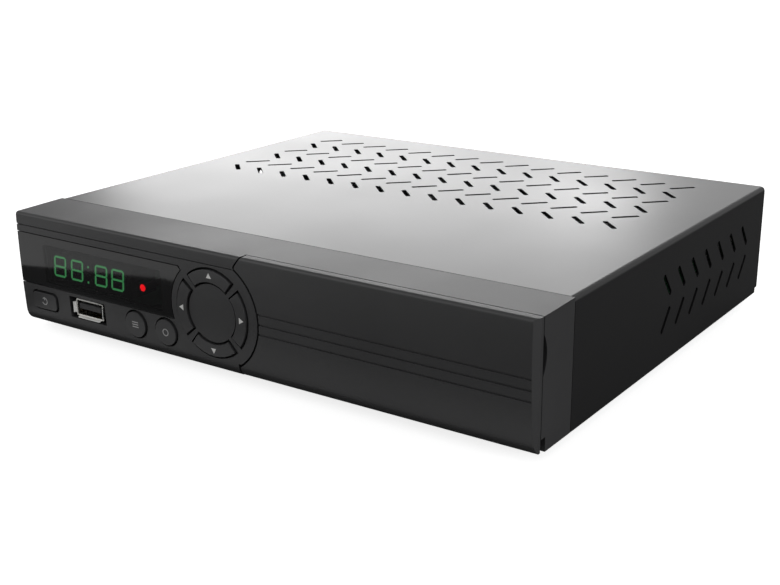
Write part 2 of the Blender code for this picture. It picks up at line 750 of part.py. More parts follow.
def make_top_cover():
    inner_radius = BEND_RADIUS - SHEET
    inner_top = CASE_HEIGHT - SHEET
    outline = [(-HALF_WIDTH, 0.0)]
    outer = HALF_WIDTH - BEND_RADIUS
    high = CASE_HEIGHT - BEND_RADIUS
    outline += arc((-outer, high), (BEND_RADIUS, BEND_RADIUS), math.pi, math.pi / 2, CURVE_STEPS)
    outline += arc((outer, high), (BEND_RADIUS, BEND_RADIUS), math.pi / 2, 0.0, CURVE_STEPS)
    outline += [(HALF_WIDTH, 0.0), (COVER_INSIDE, 0.0)]
    outline += arc((outer, high), (inner_radius, inner_radius), 0.0, math.pi / 2, CURVE_STEPS)
    outline += arc((-outer, high), (inner_radius, inner_radius), math.pi / 2, math.pi, CURVE_STEPS)
    outline.append((-COVER_INSIDE, 0.0))
    cover = prism("Y", outline, COVER_FRONT, CASE_DEPTH)
    lip_reach = COVER_INSIDE + SHEET / 2
    lip_low = inner_top - REAR_LIP_HEIGHT
    lip = block((-lip_reach, lip_reach), (CASE_DEPTH - SHEET, CASE_DEPTH), (lip_low, inner_top + SHEET / 2))
    join(cover, lip)
    top_slots = []
    side_slots = []
    for row in range(TOP_ROWS):
        slant = -SLANT if row % 2 == 0 else SLANT
        y = TOP_FIRST_ROW + row * TOP_ROW_PITCH
        for column in range(TOP_COLUMNS):
            x = TOP_PATTERN_X + (column - (TOP_COLUMNS - 1) / 2) * SLOT_PITCH
            top_slots.append(
                slot_cutter("Z", (x, y), slant, inner_top - OVERRUN, CASE_HEIGHT + OVERRUN)
            )
    for row, z in enumerate(SIDE_ROW_HEIGHTS):
        slant = -SIDE_SLANT if row == 0 else SIDE_SLANT
        for column in range(SIDE_COLUMNS):
            y = SIDE_FIRST_COLUMN + column * SLOT_PITCH
            for side in (-1, 1):
                ends = sorted((side * (COVER_INSIDE - OVERRUN), side * (HALF_WIDTH + OVERRUN)))
                side_slots.append(slot_cutter("X", (y, z), slant, *ends))
    step = [
        block(
            sorted((side * (COVER_INSIDE - OVERRUN), side * (HALF_WIDTH + OVERRUN))),
            (CASE_DEPTH - REAR_CORNER_STEP, CASE_DEPTH + OVERRUN),
            (-OVERRUN, REAR_CORNER_STEP),
        )
        for side in (-1, 1)
    ]
    lip_span = (CASE_DEPTH - 2 * SHEET, CASE_DEPTH + OVERRUN)
    holes = [
        rod("Y", (x, LIP_MIDDLE_Z), SCREW_HOLE_RADIUS, *lip_span, SMALL_SIDES)
        for x in COVER_SCREW_XS
    ]
    cut(cover, as_one_tool(top_slots), as_one_tool(side_slots), as_one_tool(step + holes))
    finish(cover, "top_cover", case_paint())


def rear_panel_cutters():
    """Openings in the rear panel for each socket, a seam larger than what passes through."""
    span = (REAR_PANEL_FRONT - OVERRUN, REAR_PANEL_BACK + OVERRUN)
    made = []
    for x in SATELLITE_SOCKET_XS + TERRESTRIAL_SOCKET_XS:
        made.append(rod("Y", (x, TUNER_SOCKET_Z), BARREL_RADIUS + SEAM, *span))
    av_middle = (sum(AV_X) / 2, ON_BOARD + AV_HEIGHT / 2)
    for sx in (-1, 1):
        for sz in (-1, 1):
            spot = (av_middle[0] + sx * AV_PITCH / 2, av_middle[1] + sz * AV_PITCH / 2)
            made.append(rod("Y", spot, AV_RADIUS + SEAM, *span))
    for ends, height in ((HDMI_X, HDMI_HEIGHT), (ETHERNET_X, ETHERNET_HEIGHT)):
        made.append(
            block((ends[0] - SEAM, ends[1] + SEAM), span, (ON_BOARD - SEAM, ON_BOARD + height + SEAM))
        )
    for x, z, width, height in (
        (INLET_X, INLET_Z, INLET_WIDTH, INLET_HEIGHT),
        (ROCKER_X, ROCKER_Z, ROCKER_HOUSING_WIDTH, ROCKER_HOUSING_HEIGHT),
    ):
        made.append(
            centred_block(
                (x, sum(span) / 2, z), (width + 2 * SEAM, span[1] - span[0], height + 2 * SEAM)
            )
        )
    for x in COVER_SCREW_XS:
        made.append(rod("Y", (x, LIP_MIDDLE_Z), SCREW_HOLE_RADIUS, *span, SMALL_SIDES))
    return made


def post_spots():
    """Where the floor's screw posts stand."""
    spots = [(x, y) for x in MAIN_POST_XS for y in MAIN_POST_YS]
    return spots + list(POWER_POSTS)


def make_chassis_tray():
    tray = block((-TRAY_HALF, TRAY_HALF), (COVER_FRONT, REAR_PANEL_BACK), (0.0, SHEET))
    panel_top = CASE_HEIGHT - SHEET - SEAM
    panel = block((-TRAY_HALF, TRAY_HALF), (REAR_PANEL_FRONT, REAR_PANEL_BACK), (0.0, panel_top))
    flange = block((-TRAY_HALF, TRAY_HALF), (COVER_FRONT, COVER_FRONT + SHEET), (0.0, FLANGE_HEIGHT))
    join(tray, panel, flange)
    for side in (-1, 1):
        across = sorted((side * TRAY_HALF, side * (TRAY_HALF - SHEET)))
        join(tray, block(across, (COVER_FRONT, REAR_PANEL_BACK), (0.0, SIDE_FLANGE_HEIGHT)))
    for spot in post_spots():
        join(tray, rod("Z", spot, POST_RADIUS, SHEET / 2, BOARD_HEIGHT - SEAM, SMALL_SIDES))
        cut(tray, rod("Z", spot, POST_HOLE_RADIUS, 2 * SHEET, BOARD_HEIGHT + OVERRUN, SMALL_SIDES))
    cut(tray, as_one_tool(rear_panel_cutters()))
    finish(tray, "chassis_tray", zinc_paint())


def groove_cutter():
    """A fine groove along the face above the window, from the left end to the door's edge."""
    low = GROOVE_Z - GROOVE_WIDTH / 2
    bottom = face_bow(GROOVE_Z) + GROOVE_DEPTH
    return block((-HALF_WIDTH - OVERRUN, DOOR_EDGE_X), (-OVERRUN, bottom), (low, low + GROOVE_WIDTH))


def pin_hole(low, high):
    """The bore that a hinge pin fits, along the hinge line."""
    return rod("X", (HINGE_Y, HINGE_Z), PIN_RADIUS + PIN_CLEARANCE, low, high, SMALL_SIDES)


def make_front_fascia():
    fascia = face_solid()
    inside = HALF_WIDTH - SIDE_WALL
    channel_back = CHANNEL_DEPTH + RECESS_WALL
    wall_top = CHANNEL_HEIGHT + RECESS_WALL
    high = CASE_HEIGHT - WALL
    behind = FASCIA_DEPTH + OVERRUN
    rear_room = [
        (channel_back, WALL),
        (behind, WALL),
        (behind, high),
        (RECESS_BACK, high),
        (RECESS_BACK, wall_top),
        (channel_back, wall_top),
    ]
    cut(fascia, prism("X", rear_room, -inside, inside))
    front_room = face_solid(WALL, HALF_WIDTH, ISLAND_FRONT_DEPTH)
    common(front_room, prism("Y", left_of_edge(-WALL, -inside), 0.0, ISLAND_FRONT_DEPTH + OVERRUN))
    cut(fascia, front_room)
    recess = prism("Y", right_of_edge(0.0, HALF_WIDTH + OVERRUN), -OVERRUN, HINGE_Y)
    channel = block(
        (DOOR_EDGE_X, HALF_WIDTH + OVERRUN), (-OVERRUN, CHANNEL_DEPTH), (-OVERRUN, CHANNEL_HEIGHT)
    )
    cut(fascia, recess, channel)
    cut(fascia, prism("Y", window_outline(SEAM), -OVERRUN, LENS_THICKNESS + SEAM))
    aperture = block(
        (APERTURE_LEFT, APERTURE_RIGHT), (0.0, ISLAND_FRONT_DEPTH), (APERTURE_LOW, APERTURE_HIGH)
    )
    cut(fascia, aperture)
    holes = [
        prism("Y", outline, -OVERRUN, ISLAND_FRONT_DEPTH)
        for outline, middle in button_outlines(BUTTON_CLEARANCE).values()
    ]
    holes.append(
        centred_block(
            (USB_X, ISLAND_FRONT_DEPTH / 2, USB_Z),
            (USB_HOLE_WIDTH, ISLAND_FRONT_DEPTH + 2 * OVERRUN, USB_HOLE_HEIGHT),
        )
    )
    cut(fascia, as_one_tool(holes), groove_cutter())
    for z, width, height in (
        (MODULE_Z, MODULE_WIDTH, MODULE_HEIGHT),
        (CARD_Z, CARD_MOUTH_WIDTH, CARD_MOUTH_HEIGHT),
    ):
        cut(fascia, centred_block((SLOT_CENTRE_X, HINGE_Y, z), (width, 4 * RECESS_WALL, height)))
    notch_half = (FINGER_NOTCH_HIGH - FINGER_NOTCH_LOW) / 2
    notch_radius = (notch_half**2 + FINGER_NOTCH_DEPTH**2) / (2 * FINGER_NOTCH_DEPTH)
    notch_middle = (HINGE_Y + FINGER_NOTCH_DEPTH - notch_radius, FINGER_NOTCH_LOW + notch_half)
    notch = prism(
        "X",
        ring_outline(notch_middle, notch_radius, 3 * ROUND_SIDES),
        HALF_WIDTH - FINGER_NOTCH_WIDTH,
        HALF_WIDTH + OVERRUN,
    )
    cut(fascia, notch)
    for x in FRONT_POST_XS:
        post = rod(
            "Y", (x, FRONT_POST_Z), FRONT_POST_RADIUS, WALL - SEAM, FRONT_BOARD_Y - SEAM, SMALL_SIDES
        )
        join(fascia, post)
        hole_front = FRONT_BOARD_Y - 2 * SCREW_LENGTH
        hole = rod(
            "Y", (x, FRONT_POST_Z), POST_HOLE_RADIUS, hole_front, FRONT_BOARD_Y + OVERRUN, SMALL_SIDES
        )
        cut(fascia, hole)
    ear_heights = (HINGE_Z - EAR_RADIUS, HINGE_Z + EAR_RADIUS)
    for x in hinge_stations():
        ends = (x - EAR_WIDTH / 2, x + EAR_WIDTH / 2)
        ear = rod("X", (HINGE_Y, HINGE_Z), EAR_RADIUS, *ends, SMALL_SIDES)
        join(ear, block(ends, (HINGE_Y, CHANNEL_DEPTH + RECESS_WALL / 2), ear_heights))
        join(fascia, ear)
        cut(fascia, pin_hole(ends[0] - SEAM, ends[1] + SEAM))
    finish(fascia, "front_fascia", front_paint())


def make_front_door():
    door = face_solid()
    common(door, prism("Y", right_of_edge(DOOR_EDGE_GAP, HALF_WIDTH + OVERRUN), -OVERRUN, DOOR_THICKNESS))
    across = (DOOR_EDGE_X - OVERRUN, HALF_WIDTH + OVERRUN)
    cut(door, block(across, (-OVERRUN, 2 * DOOR_THICKNESS), (-OVERRUN, DOOR_BOTTOM)))
    bevel = [
        (HALF_WIDTH - DOOR_BEVEL_X - DOOR_BEVEL_X, -DOOR_BEVEL_Y),
        (HALF_WIDTH + DOOR_BEVEL_X, -DOOR_BEVEL_Y),
        (HALF_WIDTH + DOOR_BEVEL_X, 2 * DOOR_BEVEL_Y),
    ]
    cut(door, prism("Z", bevel, -OVERRUN, CASE_HEIGHT + OVERRUN))
    pocket_front = DOOR_THICKNESS - DOOR_POCKET_DEPTH
    pocket_high = CASE_HEIGHT - DOOR_POCKET_TOP_RIM
    pocket_right = HALF_WIDTH - DOOR_RIM
    pocket_area = [(pocket_right, DOOR_POCKET_LOW), (pocket_right, pocket_high)]
    for i in range(DOOR_EDGE_STEPS + 1):
        z = pocket_high + (DOOR_POCKET_LOW - pocket_high) * i / DOOR_EDGE_STEPS
        pocket_area.append((edge_x(z, DOOR_EDGE_GAP + DOOR_RIM), z))
    cut(door, prism("Y", pocket_area, pocket_front, 2 * DOOR_THICKNESS))
    for z in DOOR_GROOVE_HEIGHTS:
        low = z - DOOR_GROOVE_WIDTH / 2
        cut(
            door,
            block(
                (PAD_X, HALF_WIDTH - DOOR_BEVEL_X),
                (-OVERRUN, face_bow(z) + DOOR_GROOVE_DEPTH),
                (low, low + DOOR_GROOVE_WIDTH),
            ),
        )
    for x in hinge_stations():
        ear_room = EAR_WIDTH / 2 + SEAM
        lug_end = ear_room + LUG_WIDTH
        for side in (-1, 1):
            ends = sorted((x + side * ear_room, x + side * lug_end))
            lug = rod("X", (HINGE_Y, HINGE_Z), EAR_RADIUS, *ends, SMALL_SIDES)
            neck_heights = (HINGE_Z - EAR_RADIUS, HINGE_Z + EAR_RADIUS)
            neck = block(ends, (DOOR_THICKNESS - DOOR_GAP, HINGE_Y), neck_heights)
            join(lug, neck)
            join(door, lug)
        notch_low = HINGE_Y - EAR_RADIUS - DOOR_GAP / 2
        notch_high = HINGE_Z + EAR_RADIUS + DOOR_GAP / 2
        cut(door, block((x - ear_room, x + ear_room), (notch_low, 2 * HINGE_Y), (-OVERRUN, notch_high)))
        cut(door, pin_hole(x - lug_end - SEAM, x + lug_end + SEAM))
    finish(door, "front_door", front_paint(), (0.0, HINGE_Y, HINGE_Z))
    for name, x in zip(("door_pin_left", "door_pin_right"), hinge_stations()):
        half = EAR_WIDTH / 2 + LUG_WIDTH
        pin = rod("X", (HINGE_Y, HINGE_Z), PIN_RADIUS, x - half, x + half, SMALL_SIDES)
        finish(pin, name, tin_paint(), (x, HINGE_Y, HINGE_Z), smooth=True)


def make_display():
    lens = face_solid()
    common(lens, prism("Y", window_outline(), -OVERRUN, LENS_THICKNESS))
    finish(lens, "display_window", lens_paint())
    front = LENS_THICKNESS + 4 * SEAM
    module = centred_block(
        (DIGITS_X, (front + FRONT_BOARD_Y - SEAM) / 2, DIGITS_Z),
        (DISPLAY_WIDTH, FRONT_BOARD_Y - SEAM - front, DISPLAY_HEIGHT),
    )
    finish(module, "display_module", dark_plastic_paint())
    lamp = rod("Y", (LAMP_X, LAMP_Z), LAMP_RADIUS, front, FRONT_BOARD_Y - SEAM, SMALL_SIDES)
    finish(lamp, "standby_led", paint("red_lamp", (0.9, 0.02, 0.03), 0.2), smooth=True)
    sensor = centred_block(
        (SENSOR_X, FRONT_BOARD_Y - SEAM - SENSOR_DEPTH / 2, LAMP_Z),
        (SENSOR_WIDTH, SENSOR_DEPTH, SENSOR_HEIGHT),
    )
    eye_front = FRONT_BOARD_Y - 2 * SENSOR_DEPTH
    eye = rod("Y", (SENSOR_X, LAMP_Z), SENSOR_WIDTH / 3, eye_front, eye_front + SENSOR_DEPTH, SMALL_SIDES)
    join(sensor, eye)
    finish(sensor, "ir_receiver", dark_plastic_paint())


def make_buttons():
    """Seven push buttons, each with a flange behind the front and a plunger that reaches its switch."""
    inside = button_outlines(BUTTON_FLANGE)
    flange_back = BUTTON_FLANGE_Y + BUTTON_FLANGE_THICKNESS
    switch_front = FRONT_BOARD_Y - SEAM - SWITCH_BODY - SWITCH_PLUNGER
    tip = switch_front - SWITCH_GAP
    for name, (outline, middle) in button_outlines().items():
        cap = face_solid(-BUTTON_PROUD, HALF_WIDTH, FASCIA_DEPTH)
        common(cap, prism("Y", outline, -OVERRUN, BUTTON_FLANGE_Y + BUTTON_FLANGE_THICKNESS / 2))
        join(cap, prism("Y", inside[name][0], BUTTON_FLANGE_Y, flange_back))
        root = flange_back - BUTTON_FLANGE_THICKNESS / 2
        join(cap, rod("Y", middle, PLUNGER_RADIUS, root, tip, SMALL_SIDES))
        finish(cap, name, button_paint(), (middle[0], BUTTON_FLANGE_Y, middle[1]))
        body_front = FRONT_BOARD_Y - SEAM - SWITCH_BODY
        switch = centred_block(
            (middle[0], body_front + SWITCH_BODY / 2, middle[1]), (SWITCH_SIZE, SWITCH_BODY, SWITCH_SIZE)
        )
        stem_back = body_front + SWITCH_BODY / 2
        join(switch, rod("Y", middle, SWITCH_PLUNGER_RADIUS, switch_front, stem_back, SMALL_SIDES))
        finish(switch, name.replace("button", "switch"), dark_plastic_paint())


def make_front_board():
    board = block(
        (FRONT_BOARD_LEFT, FRONT_BOARD_RIGHT),
        (FRONT_BOARD_Y, FRONT_BOARD_Y + BOARD_THICKNESS),
        (FRONT_BOARD_LOW, FRONT_BOARD_HIGH),
    )
    span = (FRONT_BOARD_Y - OVERRUN, FRONT_BOARD_Y + 2 * OVERRUN)
    holes = [
        rod("Y", (x, FRONT_POST_Z), SCREW_HOLE_RADIUS, *span, SMALL_SIDES)
        for x in FRONT_POST_XS
    ]
    cut(board, as_one_tool(holes))
    finish(board, "front_board", board_paint())


def make_front_usb():
    front = face_bow(USB_Z) + USB_SETBACK
    back = FRONT_BOARD_Y - SEAM
    shell = centred_block(
        (USB_X, (front + back) / 2, USB_Z), (USB_SHELL_WIDTH, back - front, USB_SHELL_HEIGHT)
    )
    flare = centred_block(
        (USB_X, front + USB_FLARE_DEPTH / 2, USB_Z), (USB_FLARE_WIDTH, USB_FLARE_DEPTH, USB_FLARE_HEIGHT)
    )
    join(shell, flare)
    mouth = (USB_SHELL_WIDTH - 2 * USB_METAL, USB_SHELL_HEIGHT - 2 * USB_METAL)
    cut(
        shell,
        centred_block(
            (USB_X, (front - OVERRUN + back - USB_BACK) / 2, USB_Z),
            (mouth[0], back - USB_BACK - front + OVERRUN, mouth[1]),
        ),
    )
    tongue_front = front + USB_TONGUE_SETBACK
    tongue = centred_block(
        (USB_X, (tongue_front + back - USB_BACK / 2) / 2, USB_Z + USB_TONGUE_RISE),
        (USB_TONGUE_WIDTH, back - USB_BACK / 2 - tongue_front, USB_TONGUE_HEIGHT),
    )
    join(shell, tongue)
    finish(shell, "front_usb_socket", tin_paint())


def make_main_board():
    board = block(MAIN_BOARD_X, MAIN_BOARD_Y, (BOARD_HEIGHT, BOARD_TOP))
    holes = [
        rod("Z", (x, y), SCREW_HOLE_RADIUS, BOARD_HEIGHT - OVERRUN, BOARD_TOP + OVERRUN, SMALL_SIDES)
        for x in MAIN_POST_XS
        for y in MAIN_POST_YS
    ]
    cut(board, as_one_tool(holes))
    finish(board, "main_board", board_paint())
    chip_top = ON_BOARD + CHIP_HEIGHT
    chip = block(
        (CHIP_CENTRE[0] - CHIP_SIZE / 2, CHIP_CENTRE[0] + CHIP_SIZE / 2),
        (CHIP_CENTRE[1] - CHIP_SIZE / 2, CHIP_CENTRE[1] + CHIP_SIZE / 2),
        (ON_BOARD, chip_top),
    )
    finish(chip, "processor_chip", dark_plastic_paint())
    low = chip_top + SEAM
    across = (CHIP_CENTRE[0] - HEATSINK_SIZE / 2, CHIP_CENTRE[0] + HEATSINK_SIZE / 2)
    along = (CHIP_CENTRE[1] - HEATSINK_SIZE / 2, CHIP_CENTRE[1] + HEATSINK_SIZE / 2)
    heatsink = block(across, along, (low, low + HEATSINK_HEIGHT))
    pitch = (HEATSINK_SIZE - FIN_THICKNESS) / (FIN_COUNT - 1)
    gaps = []
    for i in range(FIN_COUNT - 1):
        left = across[0] + FIN_THICKNESS + i * pitch
        gap = (left, left + pitch - FIN_THICKNESS)
        room = (low + HEATSINK_BASE, low + HEATSINK_HEIGHT + OVERRUN)
        gaps.append(block(gap, (along[0] - OVERRUN, along[1] + OVERRUN), room))
    cut(heatsink, as_one_tool(gaps))
    finish(heatsink, "processor_heatsink", aluminium_paint())


def add_barrel(tuner, x, bore, depth):
    """Adds a round aerial socket that stands out of the rear panel."""
    spot = (x, TUNER_SOCKET_Z)
    join(tuner, rod("Y", spot, BARREL_RADIUS, SOCKET_BACK - OVERRUN, REACH_END))
    cut(tuner, rod("Y", spot, bore, REACH_END - depth, REACH_END + OVERRUN, SMALL_SIDES))


def make_tuners():
    height = (ON_BOARD, ON_BOARD + TUNER_HEIGHT)
    deep = (SOCKET_BACK - TUNER_DEPTH, SOCKET_BACK)
    satellite = block(SATELLITE_TUNER_X, deep, height)
    nut_front = REAR_PANEL_BACK + SEAM
    for x in SATELLITE_SOCKET_XS:
        nut = rod("Y", (x, TUNER_SOCKET_Z), NUT_RADIUS, nut_front, nut_front + NUT_THICKNESS, NUT_SIDES)
        join(satellite, nut)
        add_barrel(satellite, x, BARREL_BORE, BARREL_BORE_DEPTH)
    finish(satellite, "satellite_tuner", tin_paint())
    terrestrial = block(TERRESTRIAL_TUNER_X, deep, height)
    female, male = TERRESTRIAL_SOCKET_XS
    add_barrel(terrestrial, female, BARREL_BORE, BARREL_BORE_DEPTH)
    add_barrel(terrestrial, male, RING_BORE, RING_DEPTH)
    pin_root = REACH_END - RING_DEPTH - SEAM
    pin_span = (pin_root, REACH_END - SEAM)
    join(terrestrial, rod("Y", (male, TUNER_SOCKET_Z), RING_PIN_RADIUS, *pin_span, SMALL_SIDES))
    finish(terrestrial, "terrestrial_tuner", tin_paint())


def make_av_sockets():
    low = ON_BOARD
    sockets = block(AV_X, (SOCKET_BACK - AV_DEPTH, SOCKET_BACK), (low, low + AV_HEIGHT))
    middle = (sum(AV_X) / 2, low + AV_HEIGHT / 2)
    end = CASE_DEPTH + AV_REACH
    for sx in (-1, 1):
        for sz in (-1, 1):
            spot = (middle[0] + sx * AV_PITCH / 2, middle[1] + sz * AV_PITCH / 2)
            join(sockets, rod("Y", spot, AV_RADIUS, SOCKET_BACK - OVERRUN, end))
            cut(sockets, rod("Y", spot, AV_BORE, end - AV_REACH, end + OVERRUN, SMALL_SIDES))
    finish(sockets, "av_sockets", dark_plastic_paint())


def make_digital_sockets():
    middle = sum(HDMI_X) / 2
    width = HDMI_X[1] - HDMI_X[0]
    back = CASE_DEPTH
    hdmi = block(HDMI_X, (back - HDMI_DEPTH, back), (ON_BOARD, ON_BOARD + HDMI_HEIGHT))
    z = ON_BOARD + HDMI_HEIGHT / 2
    mouth = (width - 2 * HDMI_METAL, HDMI_DEPTH, HDMI_HEIGHT - 2 * HDMI_METAL)
    cut(hdmi, centred_block((middle, back + HDMI_METAL, z), mouth))
    tongue_y = (back - HDMI_DEPTH + HDMI_METAL, back - HDMI_TONGUE_SIDE)
    tongue_x = (HDMI_X[0] + 2 * HDMI_TONGUE_SIDE, HDMI_X[1] - 2 * HDMI_TONGUE_SIDE)
    tongue = block(tongue_x, tongue_y, (z - HDMI_TONGUE_HEIGHT / 2, z + HDMI_TONGUE_HEIGHT / 2))
    join(hdmi, tongue)
    finish(hdmi, "hdmi_socket", tin_paint())
    middle = sum(ETHERNET_X) / 2
    socket = block(ETHERNET_X, (back - ETHERNET_DEPTH, back), (ON_BOARD, ON_BOARD + ETHERNET_HEIGHT))
    z = ON_BOARD + ETHERNET_RISE + ETHERNET_LATCH_HEIGHT + ETHERNET_OPENING_HEIGHT / 2
    deep = ETHERNET_OPENING_DEPTH + OVERRUN
    opening = centred_block(
        (middle, back + OVERRUN - deep / 2, z), (ETHERNET_OPENING_WIDTH, deep, ETHERNET_OPENING_HEIGHT)
    )
    latch_z = z - ETHERNET_OPENING_HEIGHT / 2
    latch = centred_block(
        (middle, back + OVERRUN - deep / 2, latch_z), (ETHERNET_LATCH_WIDTH, deep, 2 * ETHERNET_LATCH_HEIGHT)
    )
    cut(socket, opening, latch)
    finish(socket, "ethernet_socket", tin_paint())


def make_module_cage():
    """A sheet-metal sleeve on four legs, with the module's connector closing its far end."""
    back = SLOT_FRONT_Y + MODULE_DEPTH
    outer = (MODULE_WIDTH + 2 * MODULE_METAL, MODULE_HEIGHT + 2 * MODULE_METAL)
    middle_y = (SLOT_FRONT_Y + back) / 2
    cage = centred_block((SLOT_CENTRE_X, middle_y, MODULE_Z), (outer[0], MODULE_DEPTH, outer[1]))
    room = (SLOT_FRONT_Y - OVERRUN, back - MODULE_BACK)
    room_size = (MODULE_WIDTH, room[1] - room[0], MODULE_HEIGHT)
    cut(cage, centred_block((SLOT_CENTRE_X, sum(room) / 2, MODULE_Z), room_size))
    for side in (-1, 1):
        inner = SLOT_CENTRE_X + side * (outer[0] / 2 - MODULE_METAL / 2)
        across = sorted((inner, inner + side * (LEG_WIDTH + MODULE_METAL / 2)))
        for y in LEG_YS:
            leg = block(across, (y, y + LEG_LENGTH), (ON_BOARD, MODULE_Z))
            join(cage, leg)
    finish(cage, "module_cage", tin_paint())
    reader = centred_block(
        (SLOT_CENTRE_X, SLOT_FRONT_Y + CARD_BODY_DEPTH / 2, CARD_Z),
        (CARD_BODY_WIDTH, CARD_BODY_DEPTH, CARD_BODY_HEIGHT),
    )
    deep = CARD_DEPTH + OVERRUN
    slot_y = SLOT_FRONT_Y - OVERRUN + deep / 2
    cut(reader, centred_block((SLOT_CENTRE_X, slot_y, CARD_Z), (CARD_WIDTH, deep, CARD_OPENING)))
    finish(reader, "card_reader", dark_plastic_paint())


def make_power_supply():
    board = block(POWER_BOARD_X, POWER_BOARD_Y, (BOARD_HEIGHT, BOARD_TOP))
    holes = [
        rod("Z", spot, SCREW_HOLE_RADIUS, BOARD_HEIGHT - OVERRUN, BOARD_TOP + OVERRUN, SMALL_SIDES)
        for spot in POWER_POSTS
    ]
    cut(board, as_one_tool(holes))
    finish(board, "power_board", paint("brown_board", (0.28, 0.17, 0.07), 0.6))
    core = centred_block((*TRANSFORMER_CENTRE, ON_BOARD + TRANSFORMER_CORE[2] / 2), TRANSFORMER_CORE)
    winding_z = ON_BOARD + TRANSFORMER_CORE[2] / 2
    join(core, centred_block((*TRANSFORMER_CENTRE, winding_z), TRANSFORMER_WINDING))
    finish(core, "transformer", paint("transformer_yellow", (0.75, 0.60, 0.08), 0.5))
    top = ON_BOARD + CAPACITOR_HEIGHT
    profile = [
        (CAPACITOR_RADIUS, ON_BOARD),
        (CAPACITOR_RADIUS, top - CAPACITOR_RIM),
        (CAPACITOR_RADIUS - CAPACITOR_RIM, top),
    ]
    capacitor = turned(CAPACITOR_CENTRE, profile)
    finish(capacitor, "bulk_capacitor", dark_plastic_paint(), smooth=True)
    x, y = RECTIFIER_CENTRE
    plate = centred_block(
        (x, y, ON_BOARD + RECTIFIER_HEIGHT / 2), (RECTIFIER_THICKNESS, RECTIFIER_LENGTH, RECTIFIER_HEIGHT)
    )
    pitch = (RECTIFIER_LENGTH - RECTIFIER_THICKNESS) / (RECTIFIER_FINS - 1)
    for i in range(RECTIFIER_FINS):
        fin_y = y + (i - (RECTIFIER_FINS - 1) / 2) * pitch
        fin = centred_block(
            (x + RECTIFIER_FIN / 2, fin_y, ON_BOARD + RECTIFIER_HEIGHT / 2),
            (RECTIFIER_FIN, RECTIFIER_THICKNESS, RECTIFIER_HEIGHT),
        )
        join(plate, fin)
    finish(plate, "rectifier_heatsink", aluminium_paint())


def make_mains_inlet():
    back = CASE_DEPTH + INLET_REACH
    front = back - INLET_DEPTH
    inlet = centred_block((INLET_X, (front + back) / 2, INLET_Z), (INLET_WIDTH, INLET_DEPTH, INLET_HEIGHT))
    mouth_size = (INLET_MOUTH_WIDTH, INLET_MOUTH_HEIGHT)
    corner = INLET_MOUTH_HEIGHT * INLET_CORNER_SHARE
    mouth = rounded_rectangle((INLET_X, INLET_Z), mouth_size, corner, CURVE_STEPS)
    cut(inlet, prism("Y", mouth, back - INLET_MOUTH_DEPTH, back + OVERRUN))
    for side in (-1, 1):
        spot = (INLET_X + side * INLET_PIN_SPACING / 2, INLET_Z)
        start = back - INLET_MOUTH_DEPTH - OVERRUN
        join(inlet, rod("Y", spot, INLET_PIN_RADIUS, start, start + OVERRUN + INLET_PIN_LENGTH, SMALL_SIDES))
    finish(inlet, "mains_inlet", dark_plastic_paint())


def make_mains_switch():
    back = CASE_DEPTH + ROCKER_HOUSING_REACH
    front = back - ROCKER_HOUSING_DEPTH
    housing = centred_block(
        (ROCKER_X, (front + back) / 2, ROCKER_Z),
        (ROCKER_HOUSING_WIDTH, ROCKER_HOUSING_DEPTH, ROCKER_HOUSING_HEIGHT),
    )
    room = (ROCKER_HOUSING_WIDTH - 2 * ROCKER_WALL, ROCKER_HOUSING_HEIGHT - 2 * ROCKER_WALL)
    well = (back - ROCKER_WELL, back + OVERRUN)
    cut(housing, centred_block((ROCKER_X, sum(well) / 2, ROCKER_Z), (room[0], well[1] - well[0], room[1])))
    axle_half = room[1] / 2 - SEAM + ROCKER_AXLE_REACH
    hole_half = axle_half + SEAM / 2
    pivot = (ROCKER_X, ROCKER_PIVOT_Y)
    hole_radius = ROCKER_AXLE_RADIUS + PIN_CLEARANCE
    cut(housing, rod("Z", pivot, hole_radius, ROCKER_Z - hole_half, ROCKER_Z + hole_half, SMALL_SIDES))
    finish(housing, "mains_switch_housing", dark_plastic_paint())
    outline = [
        (-ROCKER_HALF_WIDTH, -ROCKER_BACK),
        (ROCKER_HALF_WIDTH, -ROCKER_BACK),
        (ROCKER_HALF_WIDTH, ROCKER_END_RISE),
        (0.0, ROCKER_WAIST_RISE),
        (-ROCKER_HALF_WIDTH, ROCKER_END_RISE),
    ]
    half = room[1] / 2 - SEAM
    rocker = prism("Z", rotated(outline, ROCKER_TILT, pivot), ROCKER_Z - half, ROCKER_Z + half)
    join(rocker, rod("Z", pivot, ROCKER_AXLE_RADIUS, ROCKER_Z - axle_half, ROCKER_Z + axle_half, SMALL_SIDES))
    finish(rocker, "mains_rocker", button_paint(), (ROCKER_X, ROCKER_PIVOT_Y, ROCKER_Z))


def strip(axis, centreline, thickness, low, high):
    """A flat lead: a strip of even thickness along a bent line, as wide as low to high."""
    left = []
    right = []
    for i, spot in enumerate(centreline):
        before = centreline[max(i - 1, 0)]
        after = centreline[min(i + 1, len(centreline) - 1)]
        along = Vector((after[0] - before[0], after[1] - before[1])).normalized()
        here = Vector(spot)
        across = Vector((-along.y, along.x)) * thickness / 2
        left.append(tuple(here + across))
        right.append(tuple(here - across))
    return prism(axis, left + right[::-1], low, high)


